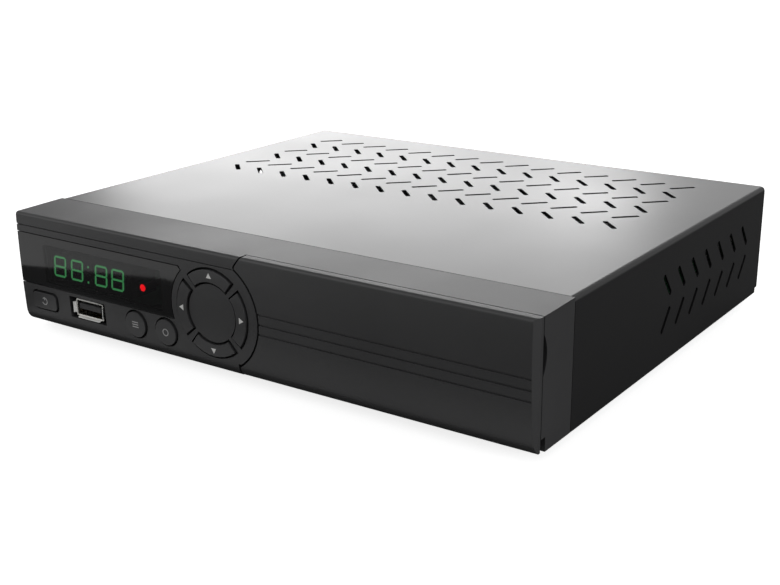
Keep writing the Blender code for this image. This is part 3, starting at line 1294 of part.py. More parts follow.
def make_leads():
    start = FRONT_BOARD_Y + BOARD_THICKNESS + SEAM
    end_y = start + RIBBON_REACH
    low = ON_BOARD
    line = [(start, RIBBON_TOP), (start + RIBBON_RUN, RIBBON_TOP)]
    line += [(end_y, low + RIBBON_RUN), (end_y, low)]
    ribbon = strip("X", line, RIBBON_THICKNESS, *RIBBON_X)
    finish(ribbon, "ribbon_cable", paint("grey_ribbon", (0.55, 0.56, 0.58), 0.55))
    left = POWER_BOARD_X[1] - LEAD_INSET
    right = MAIN_BOARD_X[0] + LEAD_INSET
    line = [(left, low), (left, low + LEAD_RISE), (right, low + LEAD_RISE), (right, low)]
    lead = strip("Y", line, LEAD_THICKNESS, *LEAD_Y)
    finish(lead, "power_lead", white_plastic_paint())


def make_feet():
    spots = [
        (side * (HALF_WIDTH - FOOT_INSET_X), y)
        for y in (COVER_FRONT + FOOT_FROM_FASCIA, CASE_DEPTH - FOOT_INSET_REAR)
        for side in (-1, 1)
    ]
    names = ("foot_front_left", "foot_front_right", "foot_rear_left", "foot_rear_right")
    for name, spot in zip(names, spots):
        profile = [
            (FOOT_RADIUS - FOOT_CHAMFER, -FOOT_HEIGHT),
            (FOOT_RADIUS, FOOT_CHAMFER - FOOT_HEIGHT),
            (FOOT_RADIUS, -SEAM),
        ]
        foot = turned(spot, profile)
        finish(foot, name, rubber_paint(), smooth=True)


def screw_mesh():
    """A pan-head cross screw with its head's underside at Z 0 and its shank below."""
    profile = [
        (SCREW_RADIUS, -SCREW_LENGTH),
        (SCREW_RADIUS, 0.0),
        (SCREW_HEAD_RADIUS, 0.0),
        (SCREW_HEAD_RADIUS, SCREW_HEAD / 2),
        (SCREW_HEAD_RADIUS - SCREW_HEAD / 2, SCREW_HEAD),
    ]
    head = turned((0.0, 0.0), profile, SMALL_SIDES)
    deep = (SCREW_HEAD - SCREW_CROSS_DEPTH, SCREW_HEAD + OVERRUN)
    long_half = (-SCREW_CROSS / 2, SCREW_CROSS / 2)
    short_half = (-SCREW_CROSS_WIDTH / 2, SCREW_CROSS_WIDTH / 2)
    cross = block(long_half, short_half, deep)
    join(cross, block(short_half, long_half, deep))
    cut(head, cross)
    mesh = head.data
    mesh.materials.clear()
    mesh.materials.append(zinc_paint())
    bpy.data.objects.remove(head)
    return mesh


def make_screws():
    mesh = screw_mesh()
    backwards = (-math.pi / 2, 0.0, 0.0)
    places = []
    for i, x in enumerate(COVER_SCREW_XS):
        places.append((f"cover_screw_{i + 1}", (x, CASE_DEPTH + SEAM, LIP_MIDDLE_Z), backwards))
    for i, x in enumerate(FRONT_POST_XS):
        spot = (x, FRONT_BOARD_Y + BOARD_THICKNESS + SEAM, FRONT_POST_Z)
        places.append((f"front_board_screw_{i + 1}", spot, backwards))
    main_spots = [(x, y) for x in MAIN_POST_XS for y in MAIN_POST_YS]
    for i, spot in enumerate(main_spots):
        places.append((f"main_board_screw_{i + 1}", (*spot, ON_BOARD), (0.0, 0.0, 0.0)))
    for i, spot in enumerate(POWER_POSTS):
        places.append((f"power_board_screw_{i + 1}", (*spot, ON_BOARD), (0.0, 0.0, 0.0)))
    for name, spot, turn in places:
        screw = bpy.data.objects.new(name, mesh)
        bpy.context.scene.collection.objects.link(screw)
        screw.location = spot
        screw.rotation_euler = turn
        screw.parent = CASE_FRAME


def main():
    """Models the receiver, piece by piece."""
    global CASE_FRAME
    clear_scene()
    PAINTS.clear()
    CASE_FRAME = bpy.data.objects.new("case_frame", None)
    bpy.context.scene.collection.objects.link(CASE_FRAME)
    CASE_FRAME.location = (0.0, -(REACH_END - BUTTON_PROUD) / 2, FOOT_HEIGHT)
    make_top_cover()
    make_chassis_tray()
    make_front_fascia()
    make_front_door()
    make_display()
    make_buttons()
    make_front_board()
    make_front_usb()
    make_main_board()
    make_tuners()
    make_av_sockets()
    make_digital_sockets()
    make_module_cage()
    make_power_supply()
    make_mains_inlet()
    make_mains_switch()
    make_leads()
    make_feet()
    make_screws()
    bpy.context.view_layer.update()


main()
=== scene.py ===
"""A satellite TV receiver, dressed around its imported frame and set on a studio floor."""
import json
import math

import bmesh
import bpy
from mathutils import Matrix, Vector

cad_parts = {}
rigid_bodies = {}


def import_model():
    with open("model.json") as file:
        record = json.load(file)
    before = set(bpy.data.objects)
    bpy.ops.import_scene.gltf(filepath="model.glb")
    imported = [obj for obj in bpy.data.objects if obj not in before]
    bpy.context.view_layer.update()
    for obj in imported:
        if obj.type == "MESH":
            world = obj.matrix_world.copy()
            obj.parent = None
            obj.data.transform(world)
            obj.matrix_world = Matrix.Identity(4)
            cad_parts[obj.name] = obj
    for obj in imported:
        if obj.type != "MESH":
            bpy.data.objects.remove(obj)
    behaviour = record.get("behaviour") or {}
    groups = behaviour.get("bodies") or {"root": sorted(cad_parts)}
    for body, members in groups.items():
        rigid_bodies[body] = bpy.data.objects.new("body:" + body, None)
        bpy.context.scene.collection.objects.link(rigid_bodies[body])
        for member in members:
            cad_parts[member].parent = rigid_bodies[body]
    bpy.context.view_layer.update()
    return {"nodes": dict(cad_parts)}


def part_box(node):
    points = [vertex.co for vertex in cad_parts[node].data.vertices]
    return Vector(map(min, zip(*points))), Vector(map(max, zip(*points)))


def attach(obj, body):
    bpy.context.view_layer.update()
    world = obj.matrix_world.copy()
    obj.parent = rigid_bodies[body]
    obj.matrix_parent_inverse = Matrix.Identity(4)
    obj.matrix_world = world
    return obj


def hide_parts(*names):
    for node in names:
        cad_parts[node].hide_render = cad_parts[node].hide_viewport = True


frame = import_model()

bl_info = {
    "name": "Satellite Receiver",
    "version": (1, 0, 0),
    "blender": (4, 5, 0),
    "location": "View3D > Sidebar > Receiver",
    "description": "Models a satellite TV receiver and the studio it stands in",
    "category": "Object",
}

# Places read from the frame
FACE_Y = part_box("front_fascia")[0].y
BASE_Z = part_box("top_cover")[0].z
REAR_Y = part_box("top_cover")[1].y

PAD_BUTTONS = ("right_button", "up_button", "left_button", "down_button")
ROUND_BUTTONS = ("menu_button", "ok_button")
FEET = ("foot_front_left", "foot_front_right", "foot_rear_left", "foot_rear_right")
SCREWS = [node for node in frame["nodes"] if "_screw_" in node]
SWITCHES = [node for node in frame["nodes"] if node.endswith("_switch")]

# The window, the clock and the lamp, in metres from the face plane and the case's floor
APERTURE_XS = (-0.0965, -0.0365)
APERTURE_HEIGHTS = (0.0172, 0.0322)
LENS_COVER = 0.80
LENS_BACK_COVER = 0.05
CLOCK_THICKNESS = 0.0001
CLOCK_LOW = 0.01976
CLOCK_LEAN = 0.09
CLOCK_GAP = 0.00018
CLOCK_STRENGTH = 4.0
DIGIT_LEFTS = (-0.0943, -0.0852, -0.0726, -0.0641)
COLON_X = -0.0761
COLON_RISES = (0.0005, 0.0064)
SEGMENT_POINT = 0.46
COLON_SHARE = 0.6
LAMP_DOME = 0.0004
LAMP_SHARES = (0.80, 0.45)
LAMP_STRENGTH = 4.0
LAMP_BODY = (0.10, 0.004, 0.006)

# The buttons' printed marks
PAD_CENTRE = (-0.0133, 0.0210)
ARROW_RADIUS = 0.0132
MARK_STROKE = 0.00034
MENU_BAR = 0.0029
MENU_PITCH = 0.0009
OK_RING = 0.0012
POWER_RING = 0.0013
POWER_OPENING = math.radians(70)
POWER_BAR_RISE = 0.0010
RING_STEPS = 24
RING_MERGE = 1e-7
RAY_START = 0.05

# Directions, and the limits that the helpers share
FORWARDS = (0.0, -1.0, 0.0)
BACKWARDS = (0.0, 1.0, 0.0)
UPWARDS = (0.0, 0.0, 1.0)
FACING = 0.99
MERGE = 2e-6
FLAT_ANGLE = 0.6
BEND_ANGLE = 40.0
SHARP_ANGLE = 30.0
DOME_ANGLE = 60.0
SMALL_EDGE = 0.0002

# The sockets' small parts: their ends along X, Y and Z from the middle or the end of a socket
USB_SHELL = (0.0140, 0.0064)
USB_WALL = 0.0005
USB_BACK = 0.0012
USB_FLAP_THICKNESS = 0.0003
USB_FLAP_DEPTH = 0.0009
USB_FLAP_TAPER = 0.93
USB_TONGUE = ((-0.0056, 0.0056), (0.0011, 0.0105), (-0.00045, 0.0017))
USB_CONTACT = ((-0.0005, 0.0005), (0.0016, 0.0085), (-0.00065, -0.0004))
USB_CONTACT_XS = (-0.0035, -0.001, 0.001, 0.0035)
USB_CONTACT_EDGE = 0.00008
HDMI_CONTACT = ((-0.0002, 0.0002), (-0.0095, -0.0018), (0.00055, 0.00075))
HDMI_PITCH = 0.0007
HDMI_CONTACTS = 10
NETWORK_PIN = ((-0.0002, 0.0002), (-0.0105, -0.0045), (-0.0035, -0.0030))
NETWORK_PITCH = 0.00102
NETWORK_PINS = 8
NETWORK_PIN_RISE = 0.0010
PIN_EDGE = 0.00006
NETWORK_LIGHT = ((-0.0011, 0.0011), (-0.0006, 0.0002), (-0.0019, -0.0007))
NETWORK_LIGHTS = (
    ("network_green", -0.0062, (0.10, 0.45, 0.12)),
    ("network_amber", 0.0062, (0.60, 0.30, 0.03)),
)

# The tuner cans and their terminals; a mouth is the margin and the depth of a round part's hollow end
BEHIND_REAR = 0.0022
TUNER_HEIGHT = 0.013
TUNER_LID = ((0.0012, 0.0004), (0.0006, -0.0003))
TUNER_EDGE = 0.0004
TERMINAL_PITCH = {"satellite_tuner": 0.018, "terrestrial_tuner": 0.016}
TERMINAL_RISE = 0.0065
TERMINAL_RADIUS = 0.00475
TERMINAL_ROOT = 0.001
TERMINAL_EDGE = 0.00012
THREADED_MOUTH = (0.0006, 0.0010)
SLEEVE_MOUTHS = ((0.0008, 0.0080), (0.0006, 0.0080))
THREAD_TURNS = 11
THREAD_SHARE = 0.93
HEART_RADIUS = 0.0037
HEART_BACK = 0.0006
HEART_EDGE = 0.0001
HEART_MOUTH = (0.0026, 0.006)
DEEP_HEART = 0.0075
DEEP_HEART_MOUTH = (0.0008, 0.0006)
AERIAL_PIN = (0.00115, 0.0003, 0.0004)  # radius, way back from the end, rounding
NUT_RADIUS = 0.0065
NUT_ENDS = (-0.0007, 0.0013)
NUT_MOUTH = (0.0008, -0.0002)

# The sound and picture sockets; each round part has a radius, its end or ends, its mouth and its rounding
AV_TONES = (
    ("socket_red", (0.50, 0.012, 0.012)),
    ("socket_ivory", (0.75, 0.73, 0.66)),
    ("socket_yellow", (0.72, 0.50, 0.02)),
    ("socket_orange", (0.62, 0.16, 0.01)),
)
AV_PITCH = 0.011
AV_SIDES = 40
AV_PANEL = (0.0015, 0.0001)
AV_PANEL_EDGE = 0.0003
AV_SHELL = (0.00415, 0.0005, (0.0004, 0.0088), 0.0001)
AV_HEART = (0.0034, 0.0004, (0.0018, 0.0080), 0.00015)
AV_COLLAR = (0.0051, (-0.0010, 0.0002), (0.0005, -0.0002), 0.00015)

# What stands on the boards, in metres from the face plane and the case's floor
BOARD_CANS = ((-0.030, 0.080), (-0.030, 0.092), (0.012, 0.128), (0.080, 0.112), (0.092, 0.112))
BOARD_CAN_SIZE = (0.0031, 0.0105)
CAN_NECK = 0.12
CAN_VENT = 0.06
CAN_ROUNDING = 0.08
CAN_SIDES = 24
MEMORY_CHIPS = (  # the processor's corner that one lies beside, the way from it, and the chip's size
    ((0, 0), (-0.018, 0.0), (0.011, 0.013)),
    ((0, 1), (-0.018, -0.008), (0.008, 0.008)),
    ((1, 0), (0.008, 0.002), (0.014, 0.009)),
)
MEMORY_HEIGHT = 0.0012
MEMORY_EDGE = 0.0001
CRYSTAL = ((0.044, 0.076, 0.0086), (0.055, 0.0808, 0.0121))
CRYSTAL_LID = (0.0004, 0.0001)
CRYSTAL_EDGE = 0.0008
CHOKES = ((-0.015, 0.150, 0.0086), (-0.015, 0.140, 0.0086))
CHOKE_SIZE = (0.0038, 0.0045)
CHOKE_MOUTH = (0.0010, 0.0012)
CHOKE_EDGE = 0.0003

# The power supply
CORE_HALF = 0.006
CORE_MARGIN = 0.0015
CORE_EDGE = 0.0005
WINDING_HALF = (0.0085, 0.0075)
WINDING_MARGIN = 0.0010
WINDING_EDGE = 0.0022
INLET_EDGE = 0.00025
INLET_PIN_X = 0.0043
INLET_PIN_ENDS = (-0.0120, -0.0018)
INLET_PIN_RADIUS = 0.00125
INLET_PIN_EDGE = 0.0005
ROCKER_EDGE = 0.0003
ROCKER_MARK_X = 0.0042
ROCKER_RING = 0.0013
ROCKER_BAR = 0.0030
SCREW_EDGE = 0.00018
FOOT_EDGE = 0.0004

# Noise runs from about 0.3 to 0.7, which is spread over a finish's whole range
NOISE_LOW = 0.3
NOISE_HIGH = 0.7
EVEN = (1.0, 1.0, 1.0)
BUTTON_TONE = 1.15
SLEEVE_TONE = (0.025, 0.028, 0.040)
WINDING_TONE = (0.72, 0.56, 0.07)
IVORY = (0.74, 0.73, 0.70)
RIBBON_TONE = (0.42, 0.43, 0.45)
RIBBON_PITCH = 0.00127
LEAD_TONE = (0.72, 0.72, 0.70)
LEAD_PITCH = 0.0020
RIB_STRENGTH = 0.6

# The photograph's camera, its place given like the clock's
CAMERA_PLACE = (0.2642, -0.2934, 0.1597)
CAMERA_AZIMUTH = 34.85
CAMERA_ELEVATION = 18.25
CAMERA_ROLL = -0.45
CAMERA_LENS = 58.0
CAMERA_SENSOR = 36.0
CAMERA_NEAR = 0.01

# The stage
FLOOR_GLOW = 0.80
FLOOR_BOUNCE = (0.12, 0.12, 0.12)
FLOOR_SIZE = 30.0
WORLD_TONE = (1.0, 1.0, 1.0)
WORLD_STRENGTH = 0.50
CARDS = (
    ("window_card", ((-0.60, -0.50), (0.10, -0.62), (-0.42, -0.057), (0.30, -0.309)), 0.0005, 0.14),
    ("foot_card", ((-0.12, -0.124), (0.12, -0.124), (-0.12, -0.101), (0.12, -0.101)), 0.0008, 0.06),
)
LIGHTS = (
    ("back_light", (-0.94, 1.30, 0.30), (0.0, 0.0, 0.04), (0.9, 0.5), 6.5),
    ("back_right_light", (-0.41, 1.55, 0.30), (0.0, 0.0, 0.04), (0.6, 0.5), 1.1),
    ("front_left_light", (-0.9, -1.0, 0.7), (-0.05, -0.09, 0.02), (0.8, 0.8), 2.9),
    ("side_light", (1.5, 0.0, 0.3), (0.0, 0.0, 0.03), (0.8, 0.6), 10.0),
)


def at(x, y, z):
    """A place given from the face plane and the floor of the case."""
    return Vector((x, FACE_Y + y, BASE_Z + z))


def length_size(name, description, default):
    return bpy.props.FloatProperty(name=name, description=description, default=default, unit="LENGTH")


def shade(name, description, default):
    return bpy.props.FloatVectorProperty(
        name=name, description=description, subtype="COLOR", default=default
    )


class ReceiverSizes(bpy.types.PropertyGroup):
    """Sizes of the details that are added to the frame."""

    edge: length_size("Plastic edge", "Rounding of the moulded edges", 0.00022)
    sheet_edge: length_size("Sheet edge", "Rounding of the sheet metal's edges", 0.00010)
    print_height: length_size("Print height", "How far printed marks stand out", 0.00003)
    digit_width: length_size("Digit width", "Width of one clock digit", 0.0064)
    digit_height: length_size("Digit height", "Height of one clock digit", 0.0081)
    segment: length_size("Segment", "Width of a clock segment", 0.00075)
    arrow: length_size("Arrow", "Side of an arrow mark", 0.0022)


class ReceiverColours(bpy.types.PropertyGroup):
    """Colours of the visible finishes."""

    case: shade("Case", "Paint of the folded case", (0.0075, 0.0075, 0.0079))
    front: shade("Front", "Plastic of the front", (0.030, 0.030, 0.031))
    lens: shade("Lens", "Smoked window", (0.011, 0.011, 0.0115))
    clock: shade("Clock", "Light of the clock's segments", (0.035, 0.20, 0.065))
    lamp: shade("Lamp", "Light of the standby lamp", (1.0, 0.004, 0.010))
    marks: shade("Marks", "Printed marks", (0.82, 0.82, 0.80))


def sizes():
    return bpy.context.scene.receiver_sizes


def colours():
    return bpy.context.scene.receiver_colours


class Finish:
    """A Principled material that is built up from noise patterns on Object coordinates."""

    made = {}

    def __init__(self, name, colour, roughness, metallic=0.0):
        self.material = bpy.data.materials.new(name)
        self.material.use_nodes = True
        self.material.diffuse_color = (*colour, 1.0)
        self.nodes = self.material.node_tree.nodes
        self.links = self.material.node_tree.links
        self.shader = self.nodes["Principled BSDF"]
        self.colour = colour
        self.set("Base Color", (*colour, 1.0))
        self.set("Roughness", roughness)
        self.set("Metallic", metallic)
        self.place = self.nodes.new("ShaderNodeTexCoord").outputs["Object"]

    def set(self, socket, value):
        self.shader.inputs[socket].default_value = value

    def noise(self, scale, stretch, detail=3.0):
        mapping = self.nodes.new("ShaderNodeMapping")
        mapping.inputs["Scale"].default_value = stretch
        texture = self.nodes.new("ShaderNodeTexNoise")
        texture.inputs["Scale"].default_value = scale
        texture.inputs["Detail"].default_value = detail
        self.links.new(self.place, mapping.inputs["Vector"])
        self.links.new(mapping.outputs["Vector"], texture.inputs["Vector"])
        return texture.outputs["Fac"]

    def mottle(self, scale, amount, stretch=EVEN):
        """Lets the colour drift a little lighter and darker."""
        ramp = self.nodes.new("ShaderNodeValToRGB")
        for stop, share, place in ((0, 1.0 - amount, NOISE_LOW), (1, 1.0 + amount, NOISE_HIGH)):
            tone = [channel * share for channel in self.colour]
            ramp.color_ramp.elements[stop].color = (*tone, 1.0)
            ramp.color_ramp.elements[stop].position = place
        self.links.new(self.noise(scale, stretch), ramp.inputs["Fac"])
        self.links.new(ramp.outputs["Color"], self.shader.inputs["Base Color"])

    def sheen_patches(self, scale, low, high, stretch=EVEN):
        """Lets the roughness wander between two values."""
        ranged = self.nodes.new("ShaderNodeMapRange")
        ends = (("From Min", NOISE_LOW), ("From Max", NOISE_HIGH), ("To Min", low), ("To Max", high))
        for socket, value in ends:
            ranged.inputs[socket].default_value = value
        self.links.new(self.noise(scale, stretch), ranged.inputs["Value"])
        self.links.new(ranged.outputs["Result"], self.shader.inputs["Roughness"])

    def grain(self, scale, strength, distance, stretch=EVEN):
        """Adds a fine relief."""
        bump = self.nodes.new("ShaderNodeBump")
        bump.inputs["Strength"].default_value = strength
        bump.inputs["Distance"].default_value = distance
        self.links.new(self.noise(scale, stretch, detail=2.0), bump.inputs["Height"])
        self.links.new(bump.outputs["Normal"], self.shader.inputs["Normal"])


# A finish's colour, roughness and share of metal; its colour's drift as scale and amount; its roughness as
# scale and both ends; its grain as scale, strength and depth. A last triple stretches a pattern.
RECIPES = {
    "satin_black_paint": (None, 0.34, 0.0, (14.0, 0.12), (9.0, 0.32, 0.37), (2600.0, 0.10, 0.00004)),
    "eroded_black_plastic": (None, 0.42, 0.0, (30.0, 0.10), (22.0, 0.40, 0.46), (3800.0, 0.16, 0.00005)),
    "button_plastic": (None, 0.38, 0.0, (60.0, 0.08), (40.0, 0.36, 0.42), (4200.0, 0.10, 0.00004)),
    "smoked_lens": (None, 0.07, 0.0, (20.0, 0.15), (12.0, 0.06, 0.09), None),
    "bright_nickel": (
        (0.80, 0.80, 0.78), 0.45, 0.55, (120.0, 0.06), (200.0, 0.40, 0.50), (1200.0, 0.04, 0.00002)
    ),
    "display_black": ((0.004, 0.004, 0.004), 0.12, 0.0, (15.0, 0.10), (12.0, 0.10, 0.14), None),
    "moulded_black": (
        (0.018, 0.018, 0.019), 0.5, 0.0, (80.0, 0.15), (60.0, 0.42, 0.55), (3000.0, 0.12, 0.00004)
    ),
    "tinned_steel": (
        (0.66, 0.65, 0.62), 0.25, 1.0, (90.0, 0.10), (160.0, 0.18, 0.34), (900.0, 0.05, 0.00003)
    ),
    "zinc_sheet": (
        (0.46, 0.47, 0.48), 0.45, 1.0, (160.0, 0.07), (160.0, 0.42, 0.48), (1500.0, 0.05, 0.00001)
    ),
    "gold_plate": ((0.78, 0.56, 0.22), 0.24, 1.0, (300.0, 0.08), (400.0, 0.18, 0.30), None),
    "dull_aluminium": (
        (0.70, 0.71, 0.73), 0.35, 1.0, (110.0, 0.08, (1.0, 8.0, 1.0)),
        (90.0, 0.28, 0.42, (1.0, 8.0, 1.0)), (1200.0, 0.10, 0.00003, (1.0, 12.0, 1.0))
    ),
    "solder_mask": (
        (0.012, 0.13, 0.045), 0.35, 0.0, (260.0, 0.30), (120.0, 0.28, 0.42), (900.0, 0.25, 0.00005)
    ),
    "brown_laminate": (
        (0.25, 0.14, 0.055), 0.55, 0.0, (200.0, 0.20, (1.0, 5.0, 1.0)),
        (90.0, 0.50, 0.62), (900.0, 0.20, 0.00004)
    ),
    "soft_rubber": (
        (0.022, 0.022, 0.022), 0.8, 0.0, (120.0, 0.20), (90.0, 0.72, 0.88), (1800.0, 0.25, 0.00006)
    ),
    "tinted_plastic": (None, 0.4, 0.0, (150.0, 0.08), (90.0, 0.34, 0.46), (2500.0, 0.08, 0.00003)),
    "mark_ink": (None, 0.5, 0.0, (900.0, 0.05), (500.0, 0.45, 0.55), None),
    "faded_ink": ((0.48, 0.48, 0.48), 0.5, 0.0, (900.0, 0.08), (500.0, 0.45, 0.55), None),
    "black_steel": ((0.05, 0.05, 0.052), 0.32, 1.0, (400.0, 0.15), (300.0, 0.26, 0.40), None),
    "lit_plastic": (None, 0.3, 0.0, (700.0, 0.10), None, None),
    "flat_lead": (None, 0.5, 0.0, (200.0, 0.10), (120.0, 0.42, 0.56), None),
    "pale_floor": ((0.55, 0.55, 0.55), 0.6, 0.0, (3.0, 0.01), (2.0, 0.55, 0.65), None),
}


def shared_finish(name, recipe=None, colour=None):
    """A finish that is made once, from a recipe and where given its own colour, and then shared."""
    if name not in Finish.made:
        usual, roughness, metallic, drift, sheen, grain = RECIPES[recipe or name]
        made = Finish(name, usual if colour is None else colour, roughness, metallic)
        made.mottle(*drift)
        if sheen:
            made.sheen_patches(*sheen)
        if grain:
            made.grain(*grain)
        Finish.made[name] = made
    return Finish.made[name]


def coating(name, recipe=None, colour=None):
    return shared_finish(name, recipe, colour).material


def case_paint():
    return coating("satin_black_paint", colour=colours().case)


def front_plastic():
    return coating("eroded_black_plastic", colour=colours().front)


def button_plastic():
    return coating("button_plastic", colour=[channel * BUTTON_TONE for channel in colours().front])


def mark_ink():
    return coating("mark_ink", colour=colours().marks)


def sleeve_plastic():
    """The dark shrunk sleeve of a capacitor."""
    return coating("capacitor_sleeve", "tinted_plastic", SLEEVE_TONE)


def smoked_lens(name, cover):
    """The window's smoked plastic: clear over the display, backed with black round it."""
    lens = shared_finish(name, "smoked_lens", colours().lens)
    lens.set("Alpha", cover)
    return lens.material


def glowing(name, colour, strength):
    light = shared_finish(name, "lit_plastic", colour)
    light.set("Emission Color", (*colour, 1.0))
    light.set("Emission Strength", strength)
    return light.material


def ribbed(name, colour, pitch, axis):
    """Flat lead whose cores show as ribs across an axis."""
    lead = shared_finish(name, "flat_lead", colour)
    split = lead.nodes.new("ShaderNodeSeparateXYZ")
    wave = lead.nodes.new("ShaderNodeMath")
    wave.operation = "MULTIPLY"
    wave.inputs[1].default_value = math.tau / pitch
    sine = lead.nodes.new("ShaderNodeMath")
    sine.operation = "SINE"
    bump = lead.nodes.new("ShaderNodeBump")
    bump.inputs["Strength"].default_value = RIB_STRENGTH
    bump.inputs["Distance"].default_value = pitch / 4
    lead.links.new(lead.place, split.inputs[0])
    lead.links.new(split.outputs[axis], wave.inputs[0])
    lead.links.new(wave.outputs[0], sine.inputs[0])
    lead.links.new(sine.outputs[0], bump.inputs["Height"])
    lead.links.new(bump.outputs["Normal"], lead.shader.inputs["Normal"])
    return lead.material


def deselect():
    if bpy.context.mode != "OBJECT":
        bpy.ops.object.mode_set(mode="OBJECT")
    bpy.ops.object.select_all(action="DESELECT")


def pick(thing):
    """Makes one object the only one that is selected."""
    deselect()
    thing.select_set(True)
    bpy.context.view_layer.objects.active = thing
    return thing


def settle(thing):
    """Puts an object's place into its mesh."""
    pick(thing)
    bpy.ops.object.transform_apply(location=True, rotation=True, scale=True)
    return thing


def select(thing, kind, wanted):
    """Enters edit mode with just the faces, edges or vertices selected that a test accepts."""
    pick(thing)
    bpy.ops.object.mode_set(mode="EDIT")
    bpy.ops.mesh.select_mode(type=kind)
    bpy.ops.mesh.select_all(action="DESELECT")
    bm = bmesh.from_edit_mesh(thing.data)
    for part in {"FACE": bm.faces, "EDGE": bm.edges, "VERT": bm.verts}[kind]:
        part.select_set(wanted(part))
    bm.select_flush_mode()
    bmesh.update_edit_mesh(thing.data)


def facing(direction):
    """A test for the faces that look along a direction."""
    return lambda face: face.normal.dot(Vector(direction)) > FACING


def running_back(reach):
    """A test for the edges that run further along Y than reach."""
    return lambda edge: abs(edge.verts[1].co.y - edge.verts[0].co.y) > reach


def push(shift):
    """Extrudes what is selected by a vector."""
    bpy.ops.mesh.extrude_region_move(TRANSFORM_OT_translate={"value": tuple(shift)})


def spans(node):
    """A frame piece's low corner, middle and high corner."""
    low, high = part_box(node)
    return low, (low + high) / 2, high


def leave_edit():
    bpy.ops.object.mode_set(mode="OBJECT")


def box_piece(name, low, high):
    """A block between two corners, with its place in its mesh."""
    deselect()
    low = Vector(low)
    high = Vector(high)
    bpy.ops.mesh.primitive_cube_add(size=1.0, location=(low + high) / 2)
    made = bpy.context.object
    made.name = name
    made.scale = high - low
    return settle(made)


def round_piece(name, centre, radius, length, upright=False, sides=32):
    """A cylinder whose near end lies at centre and which runs on along +Y, or upwards."""
    deselect()
    turn = (0.0, 0.0, 0.0) if upright else (-math.pi / 2, 0.0, 0.0)
    along = Vector((0.0, 0.0, 1.0)) if upright else Vector((0.0, 1.0, 0.0))
    middle = Vector(centre) + along * length / 2
    bpy.ops.mesh.primitive_cylinder_add(
        vertices=sides, radius=radius, depth=length, location=middle, rotation=turn
    )
    made = bpy.context.object
    made.name = name
    return settle(made)


def inset_and_sink(thing, direction, margin, depth):
    """Insets the end face that looks along direction, and pushes it in by depth."""
    return inset_faces(thing, facing(direction), (margin, -depth * Vector(direction)))


def inset_faces(thing, wanted, *steps):
    """Insets the wanted faces by a margin, step by step, and moves them by each step's vector."""
    select(thing, "FACE", wanted)
    for margin, shift in steps:
        bpy.ops.mesh.inset(thickness=margin)
        if shift:
            push(shift)
    leave_edit()
    return thing


def block(name, origin, ends):
    """A box whose ends along X, Y and Z are given from an origin."""
    low, high = (Vector(origin) + Vector(corner) for corner in zip(*ends))
    return box_piece(name, low, high)


def turned(name, start, end, radius, mouth=None, sides=32):
    """A round part along Y, from a place to an end, with a hollowed or raised end."""
    part = round_piece(name, start, radius, end - start[1], sides=sides)
    return inset_and_sink(part, BACKWARDS, *mouth) if mouth else part


def smooth_bends(thing):
    """Shades bends smooth, and lets each flat face keep its own direction up to its edge."""
    mesh = thing.data
    bm = bmesh.new()
    bm.from_mesh(mesh)
    bm.faces.ensure_lookup_table()
    flat = math.radians(FLAT_ANGLE)
    bend = math.radians(BEND_ANGLE)
    region = [-1] * len(bm.faces)
    areas = []
    for seed in bm.faces:
        if region[seed.index] >= 0:
            continue
        number = len(areas)
        areas.append(0.0)
        region[seed.index] = number
        queue = [seed]
        while queue:
            face = queue.pop()
            areas[number] += face.calc_area()
            for edge in face.edges:
                for other in edge.link_faces:
                    if region[other.index] < 0 and other.normal.angle(seed.normal, 0.0) < flat:
                        region[other.index] = number
                        queue.append(other)
    normals = [None] * len(mesh.loops)
    for face in bm.faces:
        face_loops = mesh.polygons[face.index].loop_indices
        for loop, index in zip(face.loops, face_loops):
            total = Vector((0.0, 0.0, 0.0))
            seen = set()
            for other in loop.vert.link_faces:
                number = region[other.index]
                if number not in seen and other.normal.angle(face.normal, 0.0) < bend:
                    seen.add(number)
                    total += other.normal * areas[number]
            normals[index] = total.normalized() if total.length > 0.0 else face.normal.copy()
    bm.free()
    mesh.shade_smooth()
    mesh.normals_split_custom_set(normals)
    return thing


def round_edges(thing, width, segments=2):
    """Rounds every sharp edge a little, and shades the rest smooth."""
    pick(thing)
    bevel = thing.modifiers.new("edge", "BEVEL")
    bevel.width = width
    bevel.segments = segments
    bevel.limit_method = "ANGLE"
    bevel.angle_limit = math.radians(SHARP_ANGLE)
    bevel.use_clamp_overlap = True
    bevel.miter_outer = "MITER_ARC"
    bpy.ops.object.modifier_apply(modifier=bevel.name)
    return smooth_bends(thing)


def copy_of(node, name, whole=True):
    """A merged copy of a frame piece, whose flat faces can be made whole again."""
    made = bpy.data.objects.new(name, bpy.data.objects[node].data.copy())
    bpy.context.scene.collection.objects.link(made)
    pick(made)
    bpy.ops.object.mode_set(mode="EDIT")
    bpy.ops.mesh.select_all(action="SELECT")
    bpy.ops.mesh.remove_doubles(threshold=MERGE)
    if whole:
        bpy.ops.mesh.dissolve_limited(angle_limit=math.radians(FLAT_ANGLE))
    bpy.ops.mesh.select_all(action="DESELECT")
    leave_edit()
    return made


def twin(thing, name, shift):
    """A copy with its own mesh, moved by shift."""
    made = bpy.data.objects.new(name, thing.data.copy())
    bpy.context.scene.collection.objects.link(made)
    made.data.transform(Matrix.Translation(shift))
    return made


def joined(things, name):
    deselect()
    for thing in things:
        thing.select_set(True)
    bpy.context.view_layer.objects.active = things[0]
    bpy.ops.object.join()
    things[0].name = name
    return things[0]


def body_of(node):
    if node in ("front_door", "door_pin_left", "door_pin_right"):
        return "door"
    if node == "mains_rocker":
        return "rocker"
    return node if node.endswith("_button") else "case"


